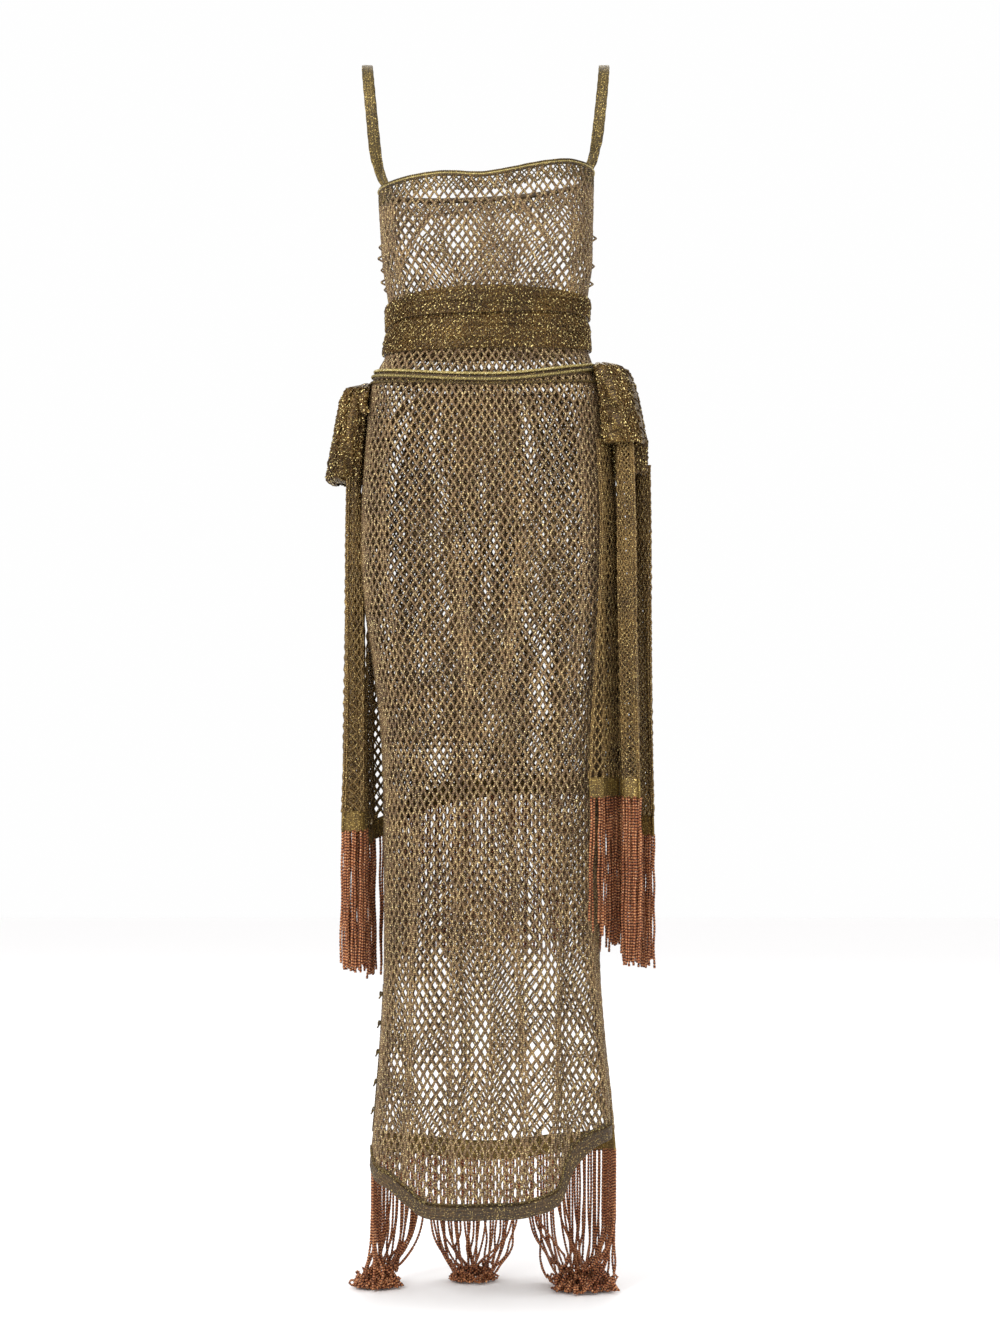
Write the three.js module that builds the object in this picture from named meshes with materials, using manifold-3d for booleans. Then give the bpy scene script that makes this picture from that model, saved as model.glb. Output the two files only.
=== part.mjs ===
// A long dress of open diamond net in gold-brown lame yarn, with a folded sash knotted at both
// hips and copper fringe. It is hollow and keeps its worn pose.
// Millimetres, +Z up. The front faces -Y and +X is the right side seen from the front.
// The origin is on the centreline at the height of the strap tops, so every height is a drop
// below it. Angles round the body are degrees: 0 right side, 90 back, 180 left side, 270 front.
import * as THREE from "three";
import { mergeVertices } from "three/addons/utils/BufferGeometryUtils.js";
import Module from "manifold-3d";

const wasm = await Module();
wasm.setup();
const { lerp, clamp, smoothstep, degToRad } = THREE.MathUtils;

// Driving dimensions
const NET = 2; // thickness of the net panels
const FALL = 2.4; // thickness of the hanging sash layers, two nets deep
const BAND = 3.2; // thickness of the dense knitted bands
const SEAM = 0.3; // gap between neighbours
const LIFT = 0.7; // gap under what lies on a curved panel
const SQUARENESS = 2.3; // exponent of the body sections, 2 is an ellipse
const HIP_SEAM = 368; // drop of the seam between bodice and skirt
const SLIT = 1085; // drop at which both side slits begin
const SLIT_FULL = 1260; // drop at which they are fully open
// Angles by which the slit edges move away there: the front panel's two, and the back panel's.
const SLIT_OPENING = { frontLeft: 12, frontRight: 16, back: 1.2 };
const FLOOR = 1450; // drop of the lowest fringe
const HEM_BAND = 24; // height of the dense band on the back hem and on the sash ends
const APRON_BINDING = 19; // width of the ridged binding round the front hem
const APRON_WALL = { inner: 1.6, outer: 2, ridge: 0.5 }; // its depths from the net's middle
const STEEPEST = 1.7; // most by which a steep part of the hem makes the binding taller
const HEM_LEVEL = 1300; // drop at which the front hem's slope is measured
const TAPE_ANGLE = 3.4; // width of the left slit tape, as an angle at the hem
const TAPE_WIDTH = 8; // width of the right slit tape, which is turned inwards
const TAPE_STEPS = 4;
const TAPE = 1.6; // thickness of a slit tape
const NECK_BINDING = 3; // half the height of the neck binding
const NECK_WALL = 2; // half its thickness
const STRAND = 1.6; // radius of a fringe strand
const CORD = 2.1; // radius of a hip cord
const ROUND = 48; // columns of a ring that goes once round the body
const DRAPE_EASE = 1.6; // over 1, rows lie closer together towards the top of a panel
const BODICE_EASE = 0.7; // under 1, towards its bottom

// Sections of the body of the dress: half-widths to the left and right, depths front and back.
const SECTIONS = [
  { drop: 110, left: 126, right: 124, front: 97, back: 92 },
  { drop: 160, left: 126, right: 124, front: 104, back: 92 },
  { drop: 200, left: 124, right: 123, front: 105, back: 90 },
  { drop: 240, left: 121, right: 122, front: 98, back: 86 },
  { drop: 280, left: 115, right: 116, front: 89, back: 82 },
  { drop: 320, left: 113, right: 114, front: 86, back: 82 },
  { drop: 345, left: 118, right: 119, front: 88, back: 88 },
  { drop: 375, left: 133, right: 132, front: 95, back: 98 },
  { drop: 450, left: 142, right: 139, front: 103, back: 112 },
  { drop: 540, left: 147, right: 144, front: 107, back: 116 },
  { drop: 620, left: 145, right: 143, front: 107, back: 114 },
  { drop: 700, left: 134, right: 139, front: 105, back: 108 },
  { drop: 800, left: 123, right: 133, front: 103, back: 104 },
  { drop: 940, left: 120, right: 130, front: 101, back: 104 },
  { drop: 1075, left: 120, right: 132, front: 102, back: 108 },
  { drop: 1150, left: 124, right: 138, front: 105, back: 114 },
  { drop: 1225, left: 130, right: 146, front: 109, back: 122 },
  { drop: 1300, left: 137, right: 152, front: 113, back: 128 },
  { drop: 1350, left: 139, right: 154, front: 115, back: 131 },
];

// Largest folds of the skirt: they rise to their height between the two drops.
const FOLDS = [
  { angle: 204, spread: 8, height: 3, begins: 700, full: 1150 },
  { angle: 236, spread: 8, height: 4.5, begins: 640, full: 1100 },
  { angle: 262, spread: 8, height: 3.5, begins: 760, full: 1200 },
  { angle: 281, spread: 8, height: 3.5, begins: 720, full: 1200 },
  { angle: 303, spread: 8, height: 7, begins: 760, full: 1180 },
  { angle: 319, spread: 8, height: -5, begins: 800, full: 1200 },
  { angle: 338, spread: 8, height: 3, begins: 700, full: 1150 },
  { angle: 26, spread: 9, height: 4, begins: 760, full: 1150 },
  { angle: 56, spread: 9, height: 5, begins: 700, full: 1100 },
  { angle: 88, spread: 9, height: 4, begins: 780, full: 1200 },
  { angle: 120, spread: 9, height: 5, begins: 720, full: 1100 },
  { angle: 151, spread: 9, height: 4, begins: 760, full: 1150 },
];

// Edges that go round the body, as drops by angle.
const NECK_EDGE = [
  { angle: 0, drop: 129 },
  { angle: 45, drop: 140 },
  { angle: 90, drop: 146 },
  { angle: 180, drop: 152 },
  { angle: 205, drop: 149 },
  { angle: 225, drop: 144.5 },
  { angle: 243, drop: 142 },
  { angle: 266, drop: 144 },
  { angle: 284, drop: 139 },
  { angle: 298, drop: 133 },
  { angle: 312, drop: 127.5 },
  { angle: 325, drop: 124.5 },
  { angle: 360, drop: 129 },
];
const APRON_HEM = [
  { angle: 180, drop: 1272 },
  { angle: 198, drop: 1303 },
  { angle: 214, drop: 1316 },
  { angle: 224, drop: 1328 },
  { angle: 233, drop: 1340 },
  { angle: 242, drop: 1345 },
  { angle: 272, drop: 1344 },
  { angle: 291, drop: 1342 },
  { angle: 303, drop: 1333 },
  { angle: 311, drop: 1323 },
  { angle: 320, drop: 1290 },
  { angle: 330, drop: 1268 },
  { angle: 344, drop: 1259 },
  { angle: 360, drop: 1254 },
];
const BACK_HEM = [
  { angle: 0, drop: 1280 },
  { angle: 45, drop: 1297 },
  { angle: 90, drop: 1311 },
  { angle: 135, drop: 1298 },
  { angle: 180, drop: 1282 },
];
// The wide fall of the sash round the back: its upper edge and its hem.
const DRAPE_TOP = [
  { angle: -24, drop: 450.5 },
  { angle: 9, drop: 450.5 },
  { angle: 24, drop: 408 },
  { angle: 40, drop: 388 },
  { angle: 132, drop: 388 },
  { angle: 148, drop: 420 },
  { angle: 162, drop: 500 },
];
const DRAPE_HEM = [
  { angle: -34, drop: 862 },
  { angle: 30, drop: 864 },
  { angle: 92, drop: 869 },
  { angle: 128, drop: 888 },
  { angle: 150, drop: 918 },
  { angle: 164, drop: 926 },
];
// How far the wide fall stands off the body, and how deep its pleats are.
const DRAPE_SET = [
  { drop: 386, off: 3, pleat: 0.1 },
  { drop: 450, off: 5.6, pleat: 0.8 },
  { drop: 600, off: 7, pleat: 2.4 },
  { drop: 700, off: 7.6, pleat: 3.2 },
  { drop: 930, off: 9, pleat: 4.6 },
];
const DRAPE_PLUMB = 560; // drop of the widest hips, below which the wide fall hangs straight down
// Its front edges at the right and left hip: angles above and below, and the drops of each.
const DRAPE_EDGES = {
  right: { angles: [-24, -34], drops: [456, 862] },
  left: { angles: [159, 163], drops: [500, 900] },
};
const DRAPE_PLEATS = 9;
const PLEAT_SWAY = 0.6; // unevenness of the pleats, in radians of their wave
const PLEAT_COLUMNS = 5; // columns of a pleat
const WAVE_COLUMNS = 6; // columns of a wave of a narrow fall

// The three narrow falls: plan position of the middle, depth of the pleats and the run from
// front to back, each at the top and at the hem.
const FALLS = [
  {
    name: "left", side: -1, top: 496.4, hem: 903, waves: 2.5,
    middle: [157, 155.5], pleat: [5.5, 12.5], front: [-22, -42], back: [30, 30],
  },
  {
    name: "right", side: 1, top: 450.4, hem: 863, waves: 2,
    middle: [160.5, 168], pleat: [8, 9.5], front: [-57, -66], back: [-24, -18],
  },
  {
    name: "right_outer", side: 1, top: 486.4, hem: 909, waves: 2,
    middle: [184, 187], pleat: [6, 8], front: [-8, -12], back: [38, 48],
  },
];

// The knotted parts at the hips, each a rounded mass of folded net on the body.
const KNOTS = [
  { name: "knot_left_loop", from: 160, to: 190, top: 376, bottom: 496, off: 1.6, reach: [31, 42] },
  { name: "knot_left_tie", from: 190.2, to: 197, top: 388, bottom: 416, off: 1.6, reach: [13, 13] },
  { name: "knot_right_loop", from: -25, to: 8, top: 354, bottom: 450, off: 7.6, reach: [30, 42] },
  { name: "knot_right_lobe", from: -6, to: 14, top: 450.4, bottom: 486, off: 22, reach: [32, 24] },
];

// The folded sash, wound twice: edges by angle, bulge and number of lengthwise folds.
const WRAPS = [
  {
    name: "sash_wrap_upper", folds: 2, off: 2.2, bulge: 2.2,
    top: [
      { angle: 0, drop: 279 }, { angle: 90, drop: 276 }, { angle: 180, drop: 287 },
      { angle: 225, drop: 275 }, { angle: 270, drop: 269 }, { angle: 315, drop: 272 },
      { angle: 360, drop: 279 },
    ],
    bottom: [
      { angle: 0, drop: 303 }, { angle: 90, drop: 306 }, { angle: 180, drop: 316 },
      { angle: 215, drop: 304 }, { angle: 270, drop: 301 }, { angle: 325, drop: 298 },
      { angle: 360, drop: 303 },
    ],
  },
  {
    name: "sash_wrap_lower", folds: 3, off: 2.2, bulge: 3,
    top: [
      { angle: 0, drop: 303 }, { angle: 90, drop: 306 }, { angle: 180, drop: 316 },
      { angle: 215, drop: 304 }, { angle: 270, drop: 301 }, { angle: 325, drop: 298 },
      { angle: 360, drop: 303 },
    ],
    bottom: [
      { angle: 0, drop: 339 }, { angle: 90, drop: 342 }, { angle: 180, drop: 344 },
      { angle: 270, drop: 342 }, { angle: 360, drop: 339 },
    ],
  },
];
const SASH = 3.6; // thickness of a folded wrap at its edges
const CREASE = 0.7; // depth of the creases between its folds

// The two light cords along the seam between bodice and skirt.
const CORDS = [
  { name: "hip_cord_upper", left: 365, front: 373, right: 358, back: 366 },
  { name: "hip_cord_lower", left: 370.5, front: 379.5, right: 363.5, back: 371.5 },
];

// Each strap's centreline from the front of the neck binding to its back, over the shoulder;
// foot gives the angles of its ends, raise the height of the middles of its slanted ends above
// the binding, and turn is 0 flat on the shoulder, 90 edge-on.
const STRAP_WIDTH = 12;
const STRAP_THICKNESS = 2.4;
const STRAP_STEPS = 18;
const STRAPS = [
  {
    name: "strap_left", foot: [196, 158], raise: [2.4, 1.3],
    route: [
      { x: -130, y: -46, drop: 116 }, { x: -135, y: -54, drop: 68 }, { x: -140, y: -36, drop: 17 },
      { x: -141, y: 4, drop: 1.4 }, { x: -140, y: 44, drop: 19 }, { x: -135, y: 59, drop: 72 },
      { x: -128, y: 54, drop: 120 },
    ],
    turns: [90, 16, 0, 0, 0, 0, 0, -16, -75],
  },
  {
    name: "strap_right", foot: [345, 22], raise: [3.5, 1.3],
    route: [
      { x: 128, y: -44, drop: 100 }, { x: 133, y: -53, drop: 60 }, { x: 137, y: -36, drop: 17 },
      { x: 138, y: 4, drop: 1.4 }, { x: 137, y: 44, drop: 19 }, { x: 132, y: 58, drop: 66 },
      { x: 126, y: 52, drop: 104 },
    ],
    turns: [-90, -16, 0, 0, 0, 0, 0, 16, 75],
  },
];

const KNOT_DROPS = [1096, 1130, 1163, 1197, 1229]; // thread knots down the left slit edge
const KNOT_SIZE = 2.4; // half the size of a thread knot
const KNOT_INSET = 1.2; // angle from the slit edge to the thread knots

// Profile of a hip knot: wall at its edge, share of its reach left at its sides and at its top,
// and how far down its crown is full.
const KNOT = { wall: 2, sides: 0.8, top: 0.7, crown: 0.4 };

// Fringe: how many strands each band carries and how long they are.
const FRINGES = { hem: 45, drape: 34, left: 11, right: 9, right_outer: 9 };
const FRINGE_LENGTH = { left: 168, right: 198, right_outer: 160 };
const DRAPE_FRINGE = [160, 198]; // at the ends of its band and in the middle
const STRIP = 4; // height of the strip that the strands hang from
const FIRST_STRAND = 0.4; // place of the first strand, in columns from the strip's end
const UNEVEN = { share: 0.05, waves: 47 }; // unevenness of hanging strands
// Where the hem strands gather on the floor: middle and reach of each pile in plan.
const PILES = [
  { x: -134, y: 45, reach: [27, 24] },
  { x: -17, y: 84, reach: [25, 20] },
  { x: 116, y: 20, reach: [38, 30] },
];
const PILE_TURN = 2.4; // angle round its pile from one strand's end to the next
const PILE_SPREAD = [0.35, 0.95]; // of those ends, as shares of the pile's reach
const FLOOR_GAP = 1; // between the floor and the lowest strands
// Height above the floor and share of the way to the pile, where a hem strand leaves its plumb
// line and where it lands.
const LEAVES = { high: 62, share: 0.1 };
const LANDS = { high: 15, share: 0.8 };

// Tables and grids

const span = (count, make) => Array.from({ length: count + 1 }, (_, k) => make(k / count, k));

// A smooth curve through a table's column, by another column that rises.
function valueAt(rows, by, column, at) {
  const last = rows.length - 1;
  const k = clamp(rows.findLastIndex((row) => row[by] <= at), 0, last - 1);
  const slope = (i) => {
    const [low, high] = [rows[Math.max(i - 1, 0)], rows[Math.min(i + 1, last)]];
    return (high[column] - low[column]) / (high[by] - low[by]);
  };
  const width = rows[k + 1][by] - rows[k][by];
  const t = clamp((at - rows[k][by]) / width, 0, 1);
  const bend = slope(k) * t * (1 - t) ** 2 - slope(k + 1) * t * t * (1 - t);
  return lerp(rows[k][column], rows[k + 1][column], t * t * (3 - 2 * t)) + width * bend;
}

const turned = (angle) => ((angle % 360) + 360) % 360;
const edgeOf = (table) => (angle) => valueAt(table, "angle", "drop", angle);

// Rows of [u, drop], from the top edge down to the bottom edge and from left to right.
function grid({ columns, rows, left, right, top, bottom, ease = 1 }) {
  return span(rows, (share) => {
    const v = share ** ease;
    const ends = [left, right].map((edge) => {
      const start = edge(top(edge(0)));
      return edge(lerp(top(start), bottom(start), v));
    });
    return span(columns, (t) => {
      const u = lerp(ends[0], ends[1], t);
      return [u, lerp(top(u), bottom(u), v)];
    });
  });
}

function ringGrid(columns, rows, top, bottom) {
  return span(rows, (v) =>
    Array.from({ length: columns }, (_, k) => {
      const u = (360 * k) / columns;
      return [u, lerp(top(u), bottom(u), v)];
    }),
  );
}

// Surfaces: each gives the point at (u, drop)

function bodyPoint(angle, drop, out = 0) {
  const [c, s] = [Math.cos(degToRad(angle)), Math.sin(degToRad(angle))];
  const width = valueAt(SECTIONS, "drop", c > 0 ? "right" : "left", drop);
  const depth = valueAt(SECTIONS, "drop", s > 0 ? "back" : "front", drop);
  const sum = (Math.abs(c) / width) ** SQUARENESS + (Math.abs(s) / depth) ** SQUARENESS;
  const radius = sum ** (-1 / SQUARENESS) + out;
  return new THREE.Vector3(radius * c, radius * s, -drop);
}

function foldAt(angle, drop) {
  return FOLDS.reduce((sum, fold) => {
    const away = Math.abs(turned(angle) - fold.angle);
    const near = Math.min(away, 360 - away) / fold.spread;
    return sum + fold.height * Math.exp(-near * near) * smoothstep(drop, fold.begins, fold.full);
  }, 0);
}

const dressPoint = (angle, drop) => bodyPoint(angle, drop, foldAt(angle, drop));

function drapePoint(angle, drop) {
  const off = valueAt(DRAPE_SET, "drop", "off", drop);
  const pleat = valueAt(DRAPE_SET, "drop", "pleat", drop);
  const [first, last] = [DRAPE_HEM[0].angle, DRAPE_HEM[DRAPE_HEM.length - 1].angle];
  const phase = ((angle - first) / (last - first)) * DRAPE_PLEATS * 2 * Math.PI;
  const out = off + pleat * Math.sin(phase + PLEAT_SWAY * Math.sin(phase / 3));
  return bodyPoint(angle, Math.min(drop, DRAPE_PLUMB), out).setZ(-drop);
}

// A narrow fall: u runs 0 to 1 from front to back on the right, from back to front on the left.
const fallPoint = (fall) => (u, drop) => {
  const down = clamp((drop - fall.top) / (fall.hem - fall.top), 0, 1.2);
  const along = fall.side > 0 ? u : 1 - u;
  const at = (pair) => lerp(pair[0], pair[1], down);
  const wave = at(fall.pleat) * Math.cos(2 * Math.PI * fall.waves * along);
  return new THREE.Vector3(
    fall.side * (at(fall.middle) + wave),
    lerp(at(fall.front), at(fall.back), along),
    -drop,
  );
};

// The point moved out along the surface's own normal.
function movedOut(surface, u, drop, out) {
  const step = 0.01;
  const place = surface(u, drop);
  const across = surface(u + step, drop).sub(surface(u - step, drop));
  const down = surface(u, drop + step).sub(surface(u, drop - step));
  return place.addScaledVector(down.cross(across).normalize(), out);
}

// Solids

function geometryOf(points, faces) {
  const geometry = new THREE.BufferGeometry();
  geometry.setAttribute(
    "position",
    new THREE.Float32BufferAttribute(points.flatMap((p) => [p.x, p.y, p.z]), 3),
  );
  geometry.setIndex(faces);
  return geometry;
}

// A wall between two grids of points, closed at its edges, or a ring that meets itself.
function wallBetween(outer, inner, ring) {
  const [rows, columns] = [outer.length, outer[0].length];
  const at = (side, r, c) => (side * rows + r) * columns + (c % columns);
  const faces = [];
  const quad = (a, b, c, d) => faces.push(a, b, c, a, c, d);
  const [steps, end] = [ring ? columns : columns - 1, columns - 1];
  for (let c = 0; c < steps; c++) {
    for (let r = 0; r < rows - 1; r++) {
      quad(at(0, r, c), at(0, r + 1, c), at(0, r + 1, c + 1), at(0, r, c + 1));
      quad(at(1, r, c), at(1, r, c + 1), at(1, r + 1, c + 1), at(1, r + 1, c));
    }
    quad(at(0, 0, c), at(0, 0, c + 1), at(1, 0, c + 1), at(1, 0, c));
    quad(at(0, rows - 1, c), at(1, rows - 1, c), at(1, rows - 1, c + 1), at(0, rows - 1, c + 1));
  }
  for (let r = 0; r < rows - 1 && !ring; r++) {
    quad(at(0, r, 0), at(1, r, 0), at(1, r + 1, 0), at(0, r + 1, 0));
    quad(at(0, r, end), at(0, r + 1, end), at(1, r + 1, end), at(1, r, end));
  }
  return geometryOf([...outer.flat(), ...inner.flat()], faces);
}

// A wall on a surface; inner and outer are distances from it, or functions of (t, v).
function wallOn(surface, cells, inner, outer, ring = false) {
  const side = (out) =>
    cells.map((row, r) =>
      row.map(([u, drop], c) => {
        const [t, v] = [c / (row.length - 1), r / (cells.length - 1)];
        return movedOut(surface, u, drop, typeof out === "function" ? out(t, v) : out);
      }),
    );
  return wallBetween(side(outer), side(inner), ring);
}

// A bar through points. Its section has so many sides; width and thickness are half its size,
// measured to the corners, or to the flats where it has four. across is its first direction.
function bar(points, { across, width, thickness = width, sides, ring = false }) {
  const count = points.length;
  const reach = sides === 4 ? Math.SQRT2 : 1;
  const side = across.clone();
  const corners = points.flatMap((p, k) => {
    const before = points[ring ? (k + count - 1) % count : Math.max(k - 1, 0)];
    const after = points[ring ? (k + 1) % count : Math.min(k + 1, count - 1)];
    const along = after.clone().sub(before).normalize();
    side.addScaledVector(along, -side.dot(along)).normalize();
    if (p.turn) side.copy(p.turn).addScaledVector(along, -p.turn.dot(along)).normalize();
    const other = along.clone().cross(side);
    return Array.from({ length: sides }, (_, i) => {
      const a = (2 * Math.PI * (i + 0.5)) / sides;
      return p.clone().addScaledVector(side, reach * width * Math.cos(a))
        .addScaledVector(other, reach * thickness * Math.sin(a));
    });
  });
  const faces = [];
  for (let k = 0; k < (ring ? count : count - 1); k++) {
    for (let i = 0; i < sides; i++) {
      const [a, b] = [k * sides + i, k * sides + ((i + 1) % sides)];
      const [c, d] = [((k + 1) % count) * sides + ((i + 1) % sides), ((k + 1) % count) * sides + i];
      faces.push(a, b, c, a, c, d);
    }
  }
  const last = (count - 1) * sides;
  for (let i = 1; i < sides - 1 && !ring; i++) {
    faces.push(0, i + 1, i, last, last + i, last + i + 1);
  }
  return geometryOf(corners, faces);
}

function solidOf(geometry) {
  const merged = mergeVertices(geometry, 1e-4);
  return new wasm.Manifold(
    new wasm.Mesh({
      numProp: 3,
      vertProperties: new Float32Array(merged.getAttribute("position").array),
      triVerts: new Uint32Array(merged.index.array),
    }),
  );
}

function joined(geometries) {
  const solids = geometries.map(solidOf);
  const whole = wasm.Manifold.union(solids).getMesh();
  const geometry = new THREE.BufferGeometry();
  geometry.setAttribute("position", new THREE.BufferAttribute(whole.vertProperties, 3));
  geometry.setIndex(new THREE.BufferAttribute(whole.triVerts, 1));
  return geometry;
}

// Finishes

const FINISH = {
  net: new THREE.MeshStandardMaterial({ color: "#7a6440", roughness: 0.55, metalness: 0.35 }),
  sash: new THREE.MeshStandardMaterial({ color: "#73531f", roughness: 0.5, metalness: 0.4 }),
  fall: new THREE.MeshStandardMaterial({ color: "#80602a", roughness: 0.5, metalness: 0.4 }),
  band: new THREE.MeshStandardMaterial({ color: "#6e5622", roughness: 0.6, metalness: 0.3 }),
  piping: new THREE.MeshStandardMaterial({ color: "#b3a05c", roughness: 0.4, metalness: 0.5 }),
  binding: new THREE.MeshStandardMaterial({ color: "#5b4f33", roughness: 0.6, metalness: 0.3 }),
  fringe: new THREE.MeshStandardMaterial({ color: "#8a4a32", roughness: 0.6, metalness: 0.2 }),
};

const dress = new THREE.Group();
const add = (name, geometry, finish) => {
  const mesh = new THREE.Mesh(geometry, FINISH[finish]);
  mesh.name = name;
  dress.add(mesh);
};

// Pieces

const neckEdge = edgeOf(NECK_EDGE);
const FRONT = { left: 180, right: 360 };
const BACK = { left: 0, right: 180 };
const seamInset = (SEAM / 2 / 130) * (180 / Math.PI); // half the side seam's gap as an angle

function bodice(name, limits, columns) {
  const cells = grid({
    columns, rows: 8, ease: BODICE_EASE,
    left: () => limits.left + seamInset,
    right: () => limits.right - seamInset,
    top: (u) => neckEdge(u) + NECK_BINDING + SEAM,
    bottom: () => HIP_SEAM - SEAM / 2,
  });
  add(name, wallOn(bodyPoint, cells, -NET / 2, NET / 2), "net");
}

function neckBinding() {
  const points = Array.from({ length: ROUND }, (_, k) => {
    const angle = (360 * k) / ROUND;
    return movedOut(bodyPoint, angle, neckEdge(angle), 0);
  });
  const up = new THREE.Vector3(0, 0, 1);
  const shape = { across: up, width: NECK_BINDING, thickness: NECK_WALL, sides: 4, ring: true };
  add("neck_binding", bar(points, shape), "binding");
}

function straps() {
  for (const { name, foot, raise, route, turns } of STRAPS) {
    const ends = foot.map((angle, k) =>
      bodyPoint(angle, neckEdge(angle) - NECK_BINDING - raise[k]),
    );
    const middle = route.map(({ x, y, drop }) => new THREE.Vector3(x, y, -drop));
    const curve = new THREE.CatmullRomCurve3([ends[0], ...middle, ends[1]]);
    const points = span(STRAP_STEPS, (t) => {
      const point = curve.getPoint(t);
      const place = t * (turns.length - 1);
      const k = Math.min(Math.floor(place), turns.length - 2);
      const turn = degToRad(lerp(turns[k], turns[k + 1], place - k));
      point.turn = new THREE.Vector3(Math.cos(turn), Math.sin(turn), 0);
      return point;
    });
    const flat = { width: STRAP_WIDTH / 2, thickness: STRAP_THICKNESS / 2, sides: 4 };
    add(name, bar(points, { across: points[0].turn, ...flat }), "band");
  }
}

// A slit edge moves away from the side seam below the slit's top.
const slitShift = (drop, most) => most * smoothstep(drop, SLIT, SLIT_FULL);

// The binding's upper edge: it keeps its width square to the curved hem.
const apronHem = edgeOf(APRON_HEM);
function apronBindingTop(u) {
  const run = bodyPoint(u + 1, HEM_LEVEL).distanceTo(bodyPoint(u - 1, HEM_LEVEL));
  const slope = (apronHem(clamp(u + 1, 180, 360)) - apronHem(clamp(u - 1, 180, 360))) / run;
  return apronHem(u) - APRON_BINDING * Math.min(Math.hypot(1, slope), STEEPEST);
}

const apronEdges = {
  left: (drop) => FRONT.left + seamInset + slitShift(drop, SLIT_OPENING.frontLeft),
  right: (drop) => FRONT.right - seamInset - slitShift(drop, SLIT_OPENING.frontRight),
};
const SKIRT_COLUMNS = { front: 34, back: 30 };

function skirtFront() {
  const cells = grid({
    columns: SKIRT_COLUMNS.front, rows: 11, ...apronEdges,
    top: () => HIP_SEAM + SEAM / 2,
    bottom: (u) => apronBindingTop(u) - SEAM,
  });
  add("skirt_front", wallOn(dressPoint, cells, -NET / 2, NET / 2), "net");
  const edge = {
    left: () => apronEdges.left(apronBindingTop(FRONT.left) - SEAM),
    right: () => apronEdges.right(apronBindingTop(FRONT.right) - SEAM),
  };
  const hem = grid({
    columns: SKIRT_COLUMNS.front, rows: 3, ...edge, top: apronBindingTop, bottom: apronHem,
  });
  const { inner, outer, ridge } = APRON_WALL;
  const ridged = (t, v) => outer + ridge * Math.cos(2 * Math.PI * v);
  add("front_hem_binding", wallOn(dressPoint, hem, -inner, ridged), "binding");
}

const backHem = edgeOf(BACK_HEM);
const backBandTop = (u) => backHem(u) - HEM_BAND;
const backEdges = {
  left: (drop) => BACK.left + seamInset + slitShift(drop, SLIT_OPENING.back),
  right: (drop) => BACK.right - seamInset - slitShift(drop, SLIT_OPENING.back),
};
const backHemEdges = {
  left: () => backEdges.left(backHem(BACK.left)),
  right: () => backEdges.right(backHem(BACK.right)),
};

function skirtBack() {
  const cells = grid({
    columns: SKIRT_COLUMNS.back, rows: 10, ...backEdges,
    top: () => HIP_SEAM + SEAM / 2,
    bottom: (u) => backBandTop(u) - SEAM,
  });
  add("skirt_back", wallOn(dressPoint, cells, -NET / 2, NET / 2), "net");
  const band = grid({
    columns: SKIRT_COLUMNS.back, rows: 1, ...backHemEdges, top: backBandTop, bottom: backHem,
  });
  add("skirt_back_band", wallOn(dressPoint, band, -BAND / 2, BAND / 2), "band");
}

// The left slit tape lies flat on the back panel's edge; the right one is turned inwards there,
// so that its flat side faces the front.
function slitTapes() {
  const off = NET / 2 + LIFT;
  const inwards = span(TAPE_STEPS, (t) => {
    const drop = lerp(SLIT, backBandTop(BACK.left) - SEAM, t);
    return movedOut(dressPoint, backEdges.left(drop), drop, -off - TAPE_WIDTH / 2);
  });
  const across = new THREE.Vector3(1, 0, 0);
  const flat = { across, width: TAPE_WIDTH / 2, thickness: TAPE / 2, sides: 4 };
  add("slit_tape_right", bar(inwards, flat), "binding");
  const tape = grid({
    columns: 1, rows: TAPE_STEPS,
    left: (drop) => backEdges.right(drop) - TAPE_ANGLE,
    right: backEdges.right,
    top: () => SLIT,
    bottom: (u) => backBandTop(u) - SEAM,
  });
  add("slit_tape_left", wallOn(dressPoint, tape, off, off + TAPE), "binding");
}

function threadKnots() {
  KNOT_DROPS.forEach((drop, k) => {
    const angle = apronEdges.left(drop) + KNOT_INSET;
    const place = movedOut(dressPoint, angle, drop, NET / 2 + SEAM + KNOT_SIZE);
    const knot = new THREE.IcosahedronGeometry(KNOT_SIZE, 0);
    knot.translate(place.x, place.y, place.z);
    knot.deleteAttribute("normal");
    knot.deleteAttribute("uv");
    add("thread_knot_" + (k + 1), mergeVertices(knot), "binding");
  });
}

function sash() {
  for (const { name, folds, off, bulge, top, bottom } of WRAPS) {
    const cells = ringGrid(
      ROUND, 4, (u) => edgeOf(top)(u) + SEAM / 2, (u) => edgeOf(bottom)(u) - SEAM / 2,
    );
    const outer = (t, v) => {
      const crease = CREASE * Math.cos(2 * Math.PI * folds * v);
      return off + SASH + bulge * Math.sin(Math.PI * v) - crease;
    };
    add(name, wallOn(bodyPoint, cells, off, outer, true), "sash");
  }
}

function hipCords() {
  for (const { name, left, front, right, back } of CORDS) {
    const points = Array.from({ length: ROUND }, (_, k) => {
      const angle = degToRad((360 * k) / ROUND);
      const side = Math.cos(angle) > 0 ? right : left;
      const end = Math.sin(angle) > 0 ? back : front;
      const drop = lerp(end, side, Math.cos(angle) ** 2);
      const off = NET / 2 + LIFT + CORD;
      const place = movedOut(bodyPoint, (360 * k) / ROUND, drop, off);
      place.turn = movedOut(bodyPoint, (360 * k) / ROUND, drop - 1, off).sub(place);
      return place;
    });
    add(name, bar(points, { across: points[0].turn, width: CORD, sides: 4, ring: true }), "piping");
  }
}

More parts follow.
